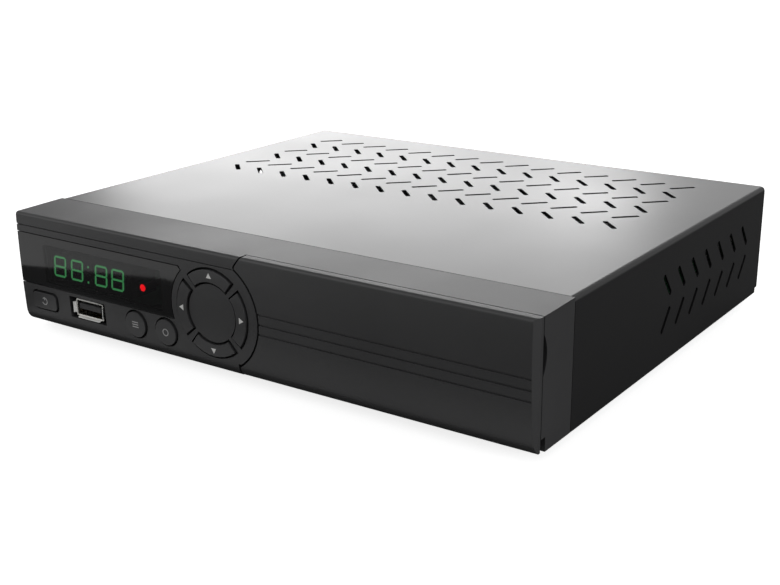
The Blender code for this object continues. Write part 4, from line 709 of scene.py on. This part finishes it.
def wear(piece, material, node=None, replaced=True):
    """Gives a piece its finish, the body it moves with and the node it stands for."""
    piece.data.materials.clear()
    piece.data.materials.append(material)
    for face in piece.data.polygons:
        face.material_index = 0
    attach(piece, body_of(node) if node else "case")
    if node and replaced:
        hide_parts(node)
    return piece


def finish(piece, width, name, segments=2, node=None):
    """Rounds a piece's edges and gives it a finish by name."""
    return wear(round_edges(piece, width, segments), coating(name), node)


def dressed(node, material, width, segments=2):
    """A copy of a frame piece with rounded edges, which stands for it."""
    piece = copy_of(node, node + "_shaped")
    round_edges(piece, width, segments)
    return wear(piece, material, node)


def plated(node, segments=2):
    return dressed(node, coating("tinned_steel"), sizes().sheet_edge, segments)


def folded(node, material):
    """A copy of a sheet-metal piece with clean bends, which stands for it."""
    piece = smooth_bends(copy_of(node, node + "_shaped", whole=False))
    return wear(piece, material, node)


def coat(node, material):
    """Gives a frame piece that stays as it is a procedural finish."""
    mesh = bpy.data.objects[node].data
    mesh.materials.clear()
    mesh.materials.append(material)


class RECEIVER_OT_case(bpy.types.Operator):
    """Model the folded lid and coat the chassis tray under it."""

    bl_idname = "receiver.case"
    bl_label = "Case"

    def execute(self, context):
        folded("top_cover", case_paint())
        folded("chassis_tray", coating("zinc_sheet"))
        return {"FINISHED"}


class RECEIVER_OT_front(bpy.types.Operator):
    """Model the front moulding, its flap and the smoked window."""

    bl_idname = "receiver.front"
    bl_label = "Front"

    def execute(self, context):
        folded("front_fascia", front_plastic())
        dressed("front_door", front_plastic(), sizes().edge)
        lens = copy_of("display_window", "display_window_shaped")
        pick(lens)
        bpy.ops.object.mode_set(mode="EDIT")
        for x in APERTURE_XS:
            bpy.ops.mesh.select_all(action="SELECT")
            bpy.ops.mesh.bisect(plane_co=(x, 0.0, 0.0), plane_no=(1.0, 0.0, 0.0))
        for z in APERTURE_HEIGHTS:
            bpy.ops.mesh.select_all(action="SELECT")
            bpy.ops.mesh.bisect(plane_co=at(0.0, 0.0, z), plane_no=(0.0, 0.0, 1.0))
        leave_edit()
        round_edges(lens, sizes().sheet_edge)
        wear(lens, smoked_lens("backed_lens", 1.0), "display_window")
        lens.data.materials.append(smoked_lens("smoked_lens", LENS_COVER))
        lens.data.materials.append(smoked_lens("smoked_lens_back", LENS_BACK_COVER))
        low, high = (at(x, 0.0, z) for x, z in zip(APERTURE_XS, APERTURE_HEIGHTS))
        for face in lens.data.polygons:
            if low.x < face.center.x < high.x and low.z < face.center.z < high.z:
                face.material_index = 1 if face.normal.y < 0.0 else 2
        for node in ("door_pin_left", "door_pin_right"):
            plated(node)
        return {"FINISHED"}


def segment_bar(name, length, upright):
    """One clock segment with pointed ends, around the origin, facing the front."""
    width = sizes().segment
    half = Vector((length / 2, CLOCK_THICKNESS / 2, width / 2))
    bar = box_piece(name, -half, half)
    select(bar, "EDGE", running_back(CLOCK_THICKNESS / 2))
    bpy.ops.mesh.bevel(offset=width * SEGMENT_POINT, offset_type="OFFSET", segments=1, affect="EDGES")
    leave_edit()
    if upright:
        bar.data.transform(Matrix.Rotation(math.pi / 2, 4, "Y"))
    return bar


class RECEIVER_OT_clock(bpy.types.Operator):
    """Model the lit clock digits and the standby lamp behind the window."""

    bl_idname = "receiver.clock"
    bl_label = "Clock and lamp"

    def execute(self, context):
        coat("display_module", coating("display_black"))
        coat("ir_receiver", coating("moulded_black"))
        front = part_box("display_module")[0].y
        width = sizes().digit_width - sizes().segment
        half_height = (sizes().digit_height - sizes().segment) / 2
        flat = segment_bar("flat_segment", width - CLOCK_GAP, False)
        upright = segment_bar("upright_segment", half_height - CLOCK_GAP, True)
        places = [(flat, 0.5, row) for row in (0, 1, 2)]
        places += [(upright, column, row) for column in (0, 1) for row in (0.5, 1.5)]
        bars = []
        for left in DIGIT_LEFTS:
            corner = at(left + sizes().segment / 2, 0.0, CLOCK_LOW + sizes().segment / 2)
            corner.y = front - CLOCK_THICKNESS / 2
            for bar, column, row in places:
                bars.append(twin(bar, "segment", corner + Vector((column * width, 0.0, row * half_height))))
        for rise in COLON_RISES:
            spot = at(COLON_X, 0.0, CLOCK_LOW + rise)
            spot.y = front - CLOCK_THICKNESS
            dot = round_piece("colon", spot, sizes().segment * COLON_SHARE, CLOCK_THICKNESS, sides=16)
            bars.append(round_edges(dot, CLOCK_THICKNESS / 4, 1))
        for spare in (flat, upright):
            bpy.data.objects.remove(spare)
        digits = joined(bars, "clock_digits")
        lean = Matrix.Identity(4)
        lean[0][2] = CLOCK_LEAN
        lean[0][3] = -CLOCK_LEAN * (BASE_Z + CLOCK_LOW)
        digits.data.transform(lean)
        wear(digits, glowing("clock_green", colours().clock, CLOCK_STRENGTH))
        lamp = copy_of("standby_led", "standby_lamp")
        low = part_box("standby_led")[0]
        select(lamp, "FACE", facing(FORWARDS))
        for share in LAMP_SHARES:
            push((0.0, -LAMP_DOME / 2, 0.0))
            bpy.ops.transform.resize(value=(share, 1.0, share))
        leave_edit()
        pick(lamp)
        bpy.ops.object.shade_smooth_by_angle(angle=math.radians(DOME_ANGLE))
        wear(lamp, coating("lamp_body", "tinted_plastic", LAMP_BODY), "standby_led")
        lamp.data.materials.append(glowing("lamp_red", colours().lamp, LAMP_STRENGTH))
        for face in lamp.data.polygons:
            if face.center.y < low.y + LAMP_DOME / 4:
                face.material_index = 1
        return {"FINISHED"}


def lay_on(mark, piece, x, z, behind=False):
    """Turns a flat mark, drawn around the origin and facing the front, to a piece's surface."""
    start = Vector((x, REAR_Y + RAY_START if behind else FACE_Y - RAY_START, z))
    along = Vector((0.0, -1.0 if behind else 1.0, 0.0))
    hit, place, normal, _ = piece.ray_cast(start, along)
    if not hit:
        raise RuntimeError(f"no surface of {piece.name} at {x}, {z}")
    turn = Vector((0.0, -1.0, 0.0)).rotation_difference(normal).to_matrix().to_4x4()
    mark.data.transform(Matrix.Translation(place) @ turn)
    return mark


def triangle_mark(angle):
    """A solid arrowhead that points along an angle in the front's plane."""
    radius = sizes().arrow / math.sqrt(3)
    height = sizes().print_height
    arrow = round_piece("arrow", (0.0, -height, 0.0), radius, 1.5 * height, sides=3)
    select(arrow, "FACE", facing(FORWARDS))
    bpy.ops.mesh.bevel(offset=height / 2, segments=1, affect="EDGES")
    leave_edit()
    ends = sorted(arrow.data.vertices, key=lambda vert: vert.co.z)
    points = math.atan2(ends[-1].co.z, ends[-1].co.x)
    arrow.data.transform(Matrix.Rotation(points - angle, 4, "Y"))
    return arrow


def bar_mark(width, height, centre=(0.0, 0.0)):
    """A printed bar with rounded ends around a centre in the front's plane."""
    rise = sizes().print_height
    low = (centre[0] - width / 2, -rise, centre[1] - height / 2)
    high = (centre[0] + width / 2, rise / 2, centre[1] + height / 2)
    return round_edges(box_piece("bar", low, high), min(rise, height) / 2, 1)


def ring_mark(radius, width, opening=0.0):
    """A printed ring, open at its top over an angle."""
    rise = sizes().print_height
    start = math.pi / 2 + opening / 2
    middle = Vector((math.cos(start) * radius, 0.0, math.sin(start) * radius))
    low = (middle.x - width / 2, -rise, middle.z - width / 2)
    ring = box_piece("ring", low, (low[0] + width, rise / 2, low[2] + width))
    ring.data.transform(
        Matrix.Translation(middle) @ Matrix.Rotation(-start, 4, "Y") @ Matrix.Translation(-middle)
    )
    select(ring, "FACE", facing((-math.sin(start), 0.0, math.cos(start))))
    bpy.ops.mesh.spin(
        steps=RING_STEPS, angle=-(math.tau - opening), center=(0.0, 0.0, 0.0), axis=BACKWARDS
    )
    bpy.ops.mesh.select_all(action="SELECT")
    bpy.ops.mesh.remove_doubles(threshold=RING_MERGE)
    bpy.ops.mesh.normals_make_consistent(inside=False)
    leave_edit()
    return ring


class RECEIVER_OT_buttons(bpy.types.Operator):
    """Model the seven push buttons with their printed marks."""

    bl_idname = "receiver.buttons"
    bl_label = "Buttons"

    def execute(self, context):
        for index, node in enumerate(PAD_BUTTONS):
            cap = dressed(node, button_plastic(), sizes().edge)
            angle = index * math.pi / 2
            x = PAD_CENTRE[0] + ARROW_RADIUS * math.cos(angle)
            z = BASE_Z + PAD_CENTRE[1] + ARROW_RADIUS * math.sin(angle)
            arrow = lay_on(triangle_mark(angle), cap, x, z)
            arrow.name = node + "_arrow"
            wear(arrow, mark_ink(), node, replaced=False)
        for node in ("power_button",) + ROUND_BUTTONS:
            cap = dressed(node, button_plastic(), sizes().edge)
            if node == "menu_button":
                marks = [bar_mark(MENU_BAR, MARK_STROKE, (0.0, rise * MENU_PITCH)) for rise in (-1, 0, 1)]
            elif node == "ok_button":
                marks = [ring_mark(OK_RING, MARK_STROKE)]
            else:
                marks = [
                    ring_mark(POWER_RING, MARK_STROKE, POWER_OPENING),
                    bar_mark(MARK_STROKE, POWER_RING, (0.0, POWER_BAR_RISE)),
                ]
            mark = joined(marks, node + "_mark")
            middle = spans(node)[1]
            lay_on(mark, cap, middle.x, middle.z)
            wear(mark, coating("faded_ink"), node, replaced=False)
        for node in SWITCHES:
            coat(node, coating("moulded_black"))
        return {"FINISHED"}


class RECEIVER_OT_front_socket(bpy.types.Operator):
    """Model the USB socket in the front: rolled metal shell, tongue and contacts."""

    bl_idname = "receiver.front_socket"
    bl_label = "Front socket"

    def execute(self, context):
        low, middle, high = spans("front_usb_socket")
        half = Vector((USB_SHELL[0] / 2, 0.0, USB_SHELL[1] / 2))
        shell_front = low.y + USB_FLAP_DEPTH
        shell_low = (middle.x - half.x, shell_front, middle.z - half.z)
        shell = box_piece("usb_shell", shell_low, (middle.x + half.x, high.y, middle.z + half.z))
        inset_and_sink(shell, FORWARDS, USB_WALL, high.y - shell_front - USB_BACK)
        finish(shell, sizes().sheet_edge, "tinned_steel", 1, "front_usb_socket")
        flare = Vector(((high.x - low.x) / 2, 0.0, (high.z - low.z) / 2)) - half
        flaps = []
        for side in (-1, 1):
            for along, across in ((0, 2), (2, 0)):
                length = half[along] - 2 * USB_WALL
                edge = half[across]
                ends = [None, (low.y, shell_front + USB_WALL), None]
                ends[along] = (-length, length)
                ends[across] = sorted((side * (edge - USB_FLAP_THICKNESS), side * edge))
                flap = block("usb_flap", (middle.x, 0.0, middle.z), ends)
                select(flap, "FACE", facing(FORWARDS))
                shift = Vector((0.0, 0.0, 0.0))
                shift[across] = side * flare[across]
                bpy.ops.transform.translate(value=shift)
                taper = Vector((1.0, 1.0, 1.0))
                taper[along] = USB_FLAP_TAPER
                bpy.ops.transform.resize(value=taper)
                leave_edit()
                flaps.append(round_edges(flap, USB_FLAP_THICKNESS / 4, 1))
        wear(joined(flaps, "usb_flaps"), coating("bright_nickel"), "front_usb_socket")
        origin = Vector((middle.x, low.y, middle.z))
        finish(block("usb_tongue_cover", origin, USB_TONGUE), SMALL_EDGE, "moulded_black")
        contact_row("usb_contact", origin, USB_CONTACT_XS, USB_CONTACT, USB_CONTACT_EDGE)
        return {"FINISHED"}


def contact_row(name, origin, places, ends, edge, rise=0.0):
    """Gold contacts side by side along X, whose outer ends can be bent up."""
    row = []
    for x in places:
        contact = block(name, origin + Vector((x, 0.0, 0.0)), ends)
        if rise:
            select(contact, "FACE", facing(BACKWARDS))
            bpy.ops.transform.translate(value=(0.0, 0.0, rise))
            leave_edit()
        row.append(round_edges(contact, edge, 1))
    wear(joined(row, name + "s"), coating("gold_plate"))


def spread(count, pitch):
    """Places around zero, a pitch apart."""
    return [(index - (count - 1) / 2) * pitch for index in range(count)]


def threaded_sleeve(name, centre, radius, length, turns):
    """A screw-threaded barrel along Y, made from rings of alternating width."""
    sleeve = round_piece(name, centre, radius, length)
    select(sleeve, "EDGE", running_back(length / 2))
    bpy.ops.mesh.subdivide(number_cuts=2 * turns - 1)
    leave_edit()
    pitch = length / (2 * turns)
    start = centre[1]
    select(sleeve, "VERT", lambda vert: round((vert.co.y - start) / pitch) % 2 == 1)
    bpy.ops.transform.resize(
        value=(THREAD_SHARE, 1.0, THREAD_SHARE), center_override=(centre[0], start + length / 2, centre[2])
    )
    leave_edit()
    return sleeve


class RECEIVER_OT_aerials(bpy.types.Operator):
    """Model the two tuner cans with their threaded and push-on aerial sockets."""

    bl_idname = "receiver.aerials"
    bl_label = "Aerial sockets"

    def execute(self, context):
        ivory = coating("socket_white", "tinted_plastic", IVORY)
        for node, pitch in TERMINAL_PITCH.items():
            low, middle, high = spans(node)
            threaded = node == "satellite_tuner"
            can_back = REAR_Y - BEHIND_REAR
            can = box_piece(node + "_can", low, (high.x, can_back, low.z + TUNER_HEIGHT))
            steps = [(margin, (0.0, 0.0, -depth)) for margin, depth in TUNER_LID]
            inset_faces(can, facing(UPWARDS), *steps)
            finish(can, TUNER_EDGE, "tinned_steel", 2, node)
            for index, x in enumerate(spread(2, pitch)):
                root = Vector((middle.x + x, can_back, low.z + TERMINAL_RISE))
                start = root - Vector((0.0, TERMINAL_ROOT, 0.0))
                name = f"{node}_socket_{index + 1}"
                if threaded:
                    barrel = threaded_sleeve(name, start, TERMINAL_RADIUS, high.y - start.y, THREAD_TURNS)
                    inset_and_sink(barrel, BACKWARDS, *THREADED_MOUTH)
                else:
                    barrel = turned(name, start, high.y, TERMINAL_RADIUS, SLEEVE_MOUTHS[index])
                finish(barrel, TERMINAL_EDGE, "tinned_steel", 1)
                pinned = not threaded and index == 1
                depth = DEEP_HEART if pinned else 0.0
                mouth = DEEP_HEART_MOUTH if pinned else HEART_MOUTH
                heart_start = root - Vector((0.0, depth, 0.0))
                heart = turned(name + "_heart", heart_start, high.y - HEART_BACK - depth, HEART_RADIUS, mouth)
                wear(round_edges(heart, HEART_EDGE, 1), ivory)
                if pinned:
                    radius, back, edge = AERIAL_PIN
                    pin = turned(name + "_pin", root, high.y - back, radius)
                    finish(pin, edge, "tinned_steel", 3)
                if threaded:
                    front, back = (REAR_Y + end for end in NUT_ENDS)
                    nut = turned(name + "_nut", (root.x, front, root.z), back, NUT_RADIUS, NUT_MOUTH, sides=6)
                    finish(nut, SMALL_EDGE, "tinned_steel")
        return {"FINISHED"}


class RECEIVER_OT_av_sockets(bpy.types.Operator):
    """Model the block of four push-on sound and picture sockets."""

    bl_idname = "receiver.av_sockets"
    bl_label = "Sound and picture sockets"

    def execute(self, context):
        low, middle, high = spans("av_sockets")
        back = REAR_Y - BEHIND_REAR
        housing = box_piece("av_housing", low, (high.x, back, high.z))
        margin, rise = AV_PANEL
        inset_faces(housing, facing(BACKWARDS), (margin, (0.0, rise, 0.0)))
        finish(housing, AV_PANEL_EDGE, "moulded_black", 2, "av_sockets")
        places = [(x, z) for z in spread(2, AV_PITCH) for x in spread(2, AV_PITCH)]
        for (x, z), (name, tone) in zip(places, AV_TONES):
            plastic = coating(name, "tinted_plastic", tone)
            x, z = middle.x + x, middle.z + z
            radius, root, mouth, edge = AV_SHELL
            shell = turned(name + "_shell", (x, back - root, z), high.y, radius, mouth, AV_SIDES)
            finish(shell, edge, "tinned_steel", 1)
            radius, set_back, mouth, edge = AV_HEART
            heart = turned(name + "_heart", (x, back, z), high.y - set_back, radius, mouth, AV_SIDES)
            wear(round_edges(heart, edge), plastic)
            radius, ends, mouth, edge = AV_COLLAR
            start = (x, REAR_Y + ends[0], z)
            collar = turned(name + "_collar", start, REAR_Y + ends[1], radius, mouth, AV_SIDES)
            wear(round_edges(collar, edge), plastic)
        return {"FINISHED"}


class RECEIVER_OT_digital_sockets(bpy.types.Operator):
    """Model the contacts and lights of the network and picture sockets."""

    bl_idname = "receiver.digital_sockets"
    bl_label = "Digital sockets"

    def execute(self, context):
        plated("hdmi_socket")
        _, middle, high = spans("hdmi_socket")
        origin = Vector((middle.x, high.y, middle.z))
        contact_row("hdmi_contact", origin, spread(HDMI_CONTACTS, HDMI_PITCH), HDMI_CONTACT, PIN_EDGE)
        plated("ethernet_socket")
        _, middle, high = spans("ethernet_socket")
        origin = Vector((middle.x, high.y, high.z))
        places = spread(NETWORK_PINS, NETWORK_PITCH)
        contact_row("network_pin", origin, places, NETWORK_PIN, PIN_EDGE, NETWORK_PIN_RISE)
        for name, x, tone in NETWORK_LIGHTS:
            light = block(name, origin + Vector((x, 0.0, 0.0)), NETWORK_LIGHT)
            wear(round_edges(light, SMALL_EDGE), coating(name, "tinted_plastic", tone))
        return {"FINISHED"}


def can_capacitor(name, start, radius, height):
    """An electrolytic capacitor: sleeved can with a rolled neck and a vented top."""
    can = round_piece(name, start, radius, height, upright=True, sides=CAN_SIDES)
    inset_and_sink(can, UPWARDS, radius * CAN_NECK, radius * CAN_VENT)
    return round_edges(can, radius * CAN_ROUNDING)


class RECEIVER_OT_boards(bpy.types.Operator):
    """Finish the circuit boards and add their components."""

    bl_idname = "receiver.boards"
    bl_label = "Circuit boards"

    def execute(self, context):
        for node in ("main_board", "front_board"):
            coat(node, coating("solder_mask"))
        coat("power_board", coating("brown_laminate"))
        coat("card_reader", coating("moulded_black"))
        plated("module_cage", segments=1)
        dressed("processor_chip", coating("moulded_black"), SMALL_EDGE)
        for node in ("processor_heatsink", "rectifier_heatsink"):
            dressed(node, coating("dull_aluminium"), SMALL_EDGE, segments=1)
        board_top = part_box("main_board")[1].z
        cans = []
        for number, (x, y) in enumerate(BOARD_CANS, 1):
            start = at(x, y, 0.0)
            start.z = board_top
            cans.append(can_capacitor(f"board_can_{number}", start, *BOARD_CAN_SIZE))
        wear(joined(cans, "board_cans"), sleeve_plastic())
        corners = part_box("processor_chip")
        chips = []
        for (side, end), shift, (width, depth) in MEMORY_CHIPS:
            low = Vector((corners[side].x + shift[0], corners[end].y + shift[1], board_top))
            chip = box_piece("memory_chip", low, low + Vector((width, depth, MEMORY_HEIGHT)))
            chips.append(round_edges(chip, MEMORY_EDGE, 1))
        wear(joined(chips, "memory_chips"), coating("moulded_black"))
        crystal = box_piece("crystal", at(*CRYSTAL[0]), at(*CRYSTAL[1]))
        margin, rise = CRYSTAL_LID
        inset_faces(crystal, facing(UPWARDS), (margin, (0.0, 0.0, rise)))
        finish(crystal, CRYSTAL_EDGE, "tinned_steel", 3)
        chokes = []
        for place in CHOKES:
            choke = round_piece("choke", at(*place), *CHOKE_SIZE, upright=True, sides=CAN_SIDES)
            chokes.append(round_edges(inset_and_sink(choke, UPWARDS, *CHOKE_MOUTH), CHOKE_EDGE))
        wear(joined(chokes, "chokes"), coating("moulded_black"))
        return {"FINISHED"}


class RECEIVER_OT_power_supply(bpy.types.Operator):
    """Model the power supply's transformer, capacitor, mains inlet and rocker switch."""

    bl_idname = "receiver.power_supply"
    bl_label = "Power supply"

    def execute(self, context):
        low, middle, high = spans("transformer")
        front, back = middle.y - CORE_HALF, middle.y + CORE_HALF
        core = box_piece("transformer_core", (low.x, front, low.z), (high.x, back, high.z))
        inset_faces(core, lambda face: abs(face.normal.z) > FACING, (CORE_MARGIN, None))
        finish(core, CORE_EDGE, "moulded_black", 2, "transformer")
        half = Vector((WINDING_HALF[0], high.y - middle.y, WINDING_HALF[1]))
        winding = box_piece("transformer_winding", middle - half, middle + half)
        inset_faces(winding, lambda face: abs(face.normal.y) > FACING, (WINDING_MARGIN, None))
        tape = coating("winding_tape", "tinted_plastic", WINDING_TONE)
        wear(round_edges(winding, WINDING_EDGE, 4), tape)
        low, middle, high = spans("bulk_capacitor")
        start = Vector((middle.x, middle.y, low.z))
        can = can_capacitor("bulk_can", start, high.x - middle.x, high.z - low.z)
        wear(can, sleeve_plastic(), "bulk_capacitor")
        dressed("mains_inlet", coating("moulded_black"), INLET_EDGE)
        low, middle, high = spans("mains_inlet")
        pins = []
        for x in (-INLET_PIN_X, INLET_PIN_X):
            front, back = (high.y + end for end in INLET_PIN_ENDS)
            spot = (middle.x + x, front, middle.z)
            pin = turned("inlet_pin", spot, back, INLET_PIN_RADIUS, sides=CAN_SIDES)
            pins.append(round_edges(pin, INLET_PIN_EDGE, 3))
        wear(joined(pins, "inlet_pins"), coating("tinned_steel"))
        dressed("mains_switch_housing", coating("moulded_black"), INLET_EDGE)
        rocker = dressed("mains_rocker", button_plastic(), ROCKER_EDGE)
        middle = spans("mains_rocker")[1]
        marks = (
            ("rocker_off_mark", -ROCKER_MARK_X, ring_mark(ROCKER_RING, MARK_STROKE)),
            ("rocker_on_mark", ROCKER_MARK_X, bar_mark(MARK_STROKE, ROCKER_BAR)),
        )
        for name, x, mark in marks:
            lay_on(mark, rocker, middle.x + x, middle.z, behind=True)
            mark.name = name
            wear(mark, mark_ink(), "mains_rocker", replaced=False)
        return {"FINISHED"}


class RECEIVER_OT_leads(bpy.types.Operator):
    """Coat the ribbon cable and the power lead as separate cores."""

    bl_idname = "receiver.leads"
    bl_label = "Leads"

    def execute(self, context):
        coat("ribbon_cable", ribbed("ribbon_grey", RIBBON_TONE, RIBBON_PITCH, "X"))
        coat("power_lead", ribbed("lead_white", LEAD_TONE, LEAD_PITCH, "Y"))
        return {"FINISHED"}


class RECEIVER_OT_screws_and_feet(bpy.types.Operator):
    """Round the cover screws' heads and the rubber feet, and coat the other screws."""

    bl_idname = "receiver.screws_and_feet"
    bl_label = "Screws and feet"

    def execute(self, context):
        for node in SCREWS:
            if node.startswith("cover"):
                dressed(node, coating("black_steel"), SCREW_EDGE)
            else:
                coat(node, coating("zinc_sheet"))
        for node in FEET:
            dressed(node, coating("soft_rubber"), FOOT_EDGE, segments=3)
        return {"FINISHED"}


def light_panel(name, place, target, size, power):
    """A soft area light that faces its target, out of the camera's sight."""
    deselect()
    bpy.ops.object.light_add(type="AREA", location=place)
    panel = bpy.context.object
    panel.name = name
    panel.data.shape = "RECTANGLE"
    panel.data.size, panel.data.size_y = size
    panel.data.energy = power
    panel.rotation_euler = (Vector(target) - Vector(place)).to_track_quat("-Z", "Y").to_euler()
    panel.visible_camera = False


def glow_card(name, corners, height, strength):
    """A bright card on the floor that only shows in the front's reflections."""
    deselect()
    bpy.ops.mesh.primitive_plane_add(size=1.0, location=(0.0, 0.0, height))
    card = settle(bpy.context.object)
    card.name = name
    for vert in card.data.vertices:
        corner = corners[(vert.co.x > 0) + 2 * (vert.co.y > 0)]
        vert.co = (*corner, height)
    shine = Finish(name, (1.0, 1.0, 1.0), 1.0)
    shine.set("Emission Color", (1.0, 1.0, 1.0, 1.0))
    shine.set("Emission Strength", strength)
    card.data.materials.append(shine.material)
    card.visible_camera = False
    card.visible_diffuse = False
    card.visible_shadow = False


class RECEIVER_OT_stage(bpy.types.Operator):
    """Set the floor, the lights and the camera."""

    bl_idname = "receiver.stage"
    bl_label = "Stage"

    def execute(self, context):
        floor_finish = shared_finish("pale_floor")
        seen = floor_finish.nodes.new("ShaderNodeLightPath").outputs["Is Camera Ray"]
        glow = floor_finish.nodes.new("ShaderNodeEmission")
        glow.inputs["Strength"].default_value = FLOOR_GLOW
        lit = floor_finish.nodes.new("ShaderNodeAddShader")
        dark = floor_finish.nodes.new("ShaderNodeBsdfDiffuse")
        dark.inputs["Color"].default_value = (*FLOOR_BOUNCE, 1.0)
        choice = floor_finish.nodes.new("ShaderNodeMixShader")
        links = floor_finish.links
        links.new(floor_finish.shader.outputs[0], lit.inputs[0])
        links.new(glow.outputs[0], lit.inputs[1])
        links.new(seen, choice.inputs["Fac"])
        links.new(dark.outputs[0], choice.inputs[1])
        links.new(lit.outputs[0], choice.inputs[2])
        links.new(choice.outputs[0], floor_finish.nodes["Material Output"].inputs["Surface"])
        deselect()
        bpy.ops.mesh.primitive_plane_add(size=FLOOR_SIZE, location=(0.0, 0.0, 0.0))
        floor = bpy.context.object
        floor.name = "studio_floor"
        floor.data.materials.append(floor_finish.material)
        settle(floor)
        for name, corners, height, strength in CARDS:
            glow_card(name, corners, height, strength)
        world = bpy.data.worlds.new("studio")
        world.use_nodes = True
        background = world.node_tree.nodes["Background"]
        background.inputs["Color"].default_value = (*WORLD_TONE, 1.0)
        background.inputs["Strength"].default_value = WORLD_STRENGTH
        context.scene.world = world
        for name, place, target, size, power in LIGHTS:
            light_panel(name, place, target, size, power)
        deselect()
        bpy.ops.object.camera_add(location=at(*CAMERA_PLACE))
        camera = bpy.context.object
        camera.name = "photo_camera"
        turn = Matrix.Rotation(math.radians(CAMERA_AZIMUTH), 3, "Z")
        rise = Matrix.Rotation(math.radians(90.0 - CAMERA_ELEVATION), 3, "X")
        roll = Matrix.Rotation(math.radians(CAMERA_ROLL), 3, "Z")
        camera.rotation_euler = (turn @ rise @ roll).to_euler()
        camera.data.lens = CAMERA_LENS
        camera.data.sensor_width = CAMERA_SENSOR
        camera.data.clip_start = CAMERA_NEAR
        context.scene.camera = camera
        context.scene.view_settings.view_transform = "Standard"
        return {"FINISHED"}


OPERATORS = (
    RECEIVER_OT_case,
    RECEIVER_OT_front,
    RECEIVER_OT_clock,
    RECEIVER_OT_buttons,
    RECEIVER_OT_front_socket,
    RECEIVER_OT_aerials,
    RECEIVER_OT_av_sockets,
    RECEIVER_OT_digital_sockets,
    RECEIVER_OT_boards,
    RECEIVER_OT_power_supply,
    RECEIVER_OT_leads,
    RECEIVER_OT_screws_and_feet,
    RECEIVER_OT_stage,
)


class RECEIVER_PT_panel(bpy.types.Panel):
    """The receiver's pieces, sizes and colours."""

    bl_idname = "RECEIVER_PT_panel"
    bl_label = "Receiver"
    bl_space_type = "VIEW_3D"
    bl_region_type = "UI"
    bl_category = "Receiver"

    def draw(self, context):
        for group in (context.scene.receiver_sizes, context.scene.receiver_colours):
            for name in group.bl_rna.properties.keys():
                if name not in ("rna_type", "name"):
                    self.layout.prop(group, name)
        for operator in OPERATORS:
            self.layout.operator(operator.bl_idname)


CLASSES = (ReceiverSizes, ReceiverColours, *OPERATORS, RECEIVER_PT_panel)


def register():
    for item in CLASSES:
        bpy.utils.register_class(item)
    bpy.types.Scene.receiver_sizes = bpy.props.PointerProperty(type=ReceiverSizes)
    bpy.types.Scene.receiver_colours = bpy.props.PointerProperty(type=ReceiverColours)


def unregister():
    del bpy.types.Scene.receiver_colours
    del bpy.types.Scene.receiver_sizes
    for item in reversed(CLASSES):
        bpy.utils.unregister_class(item)


def main():
    register()
    for operator in OPERATORS:
        family, name = operator.bl_idname.split(".")
        getattr(getattr(bpy.ops, family), name)()
    deselect()


if __name__ == "__main__":
    main()
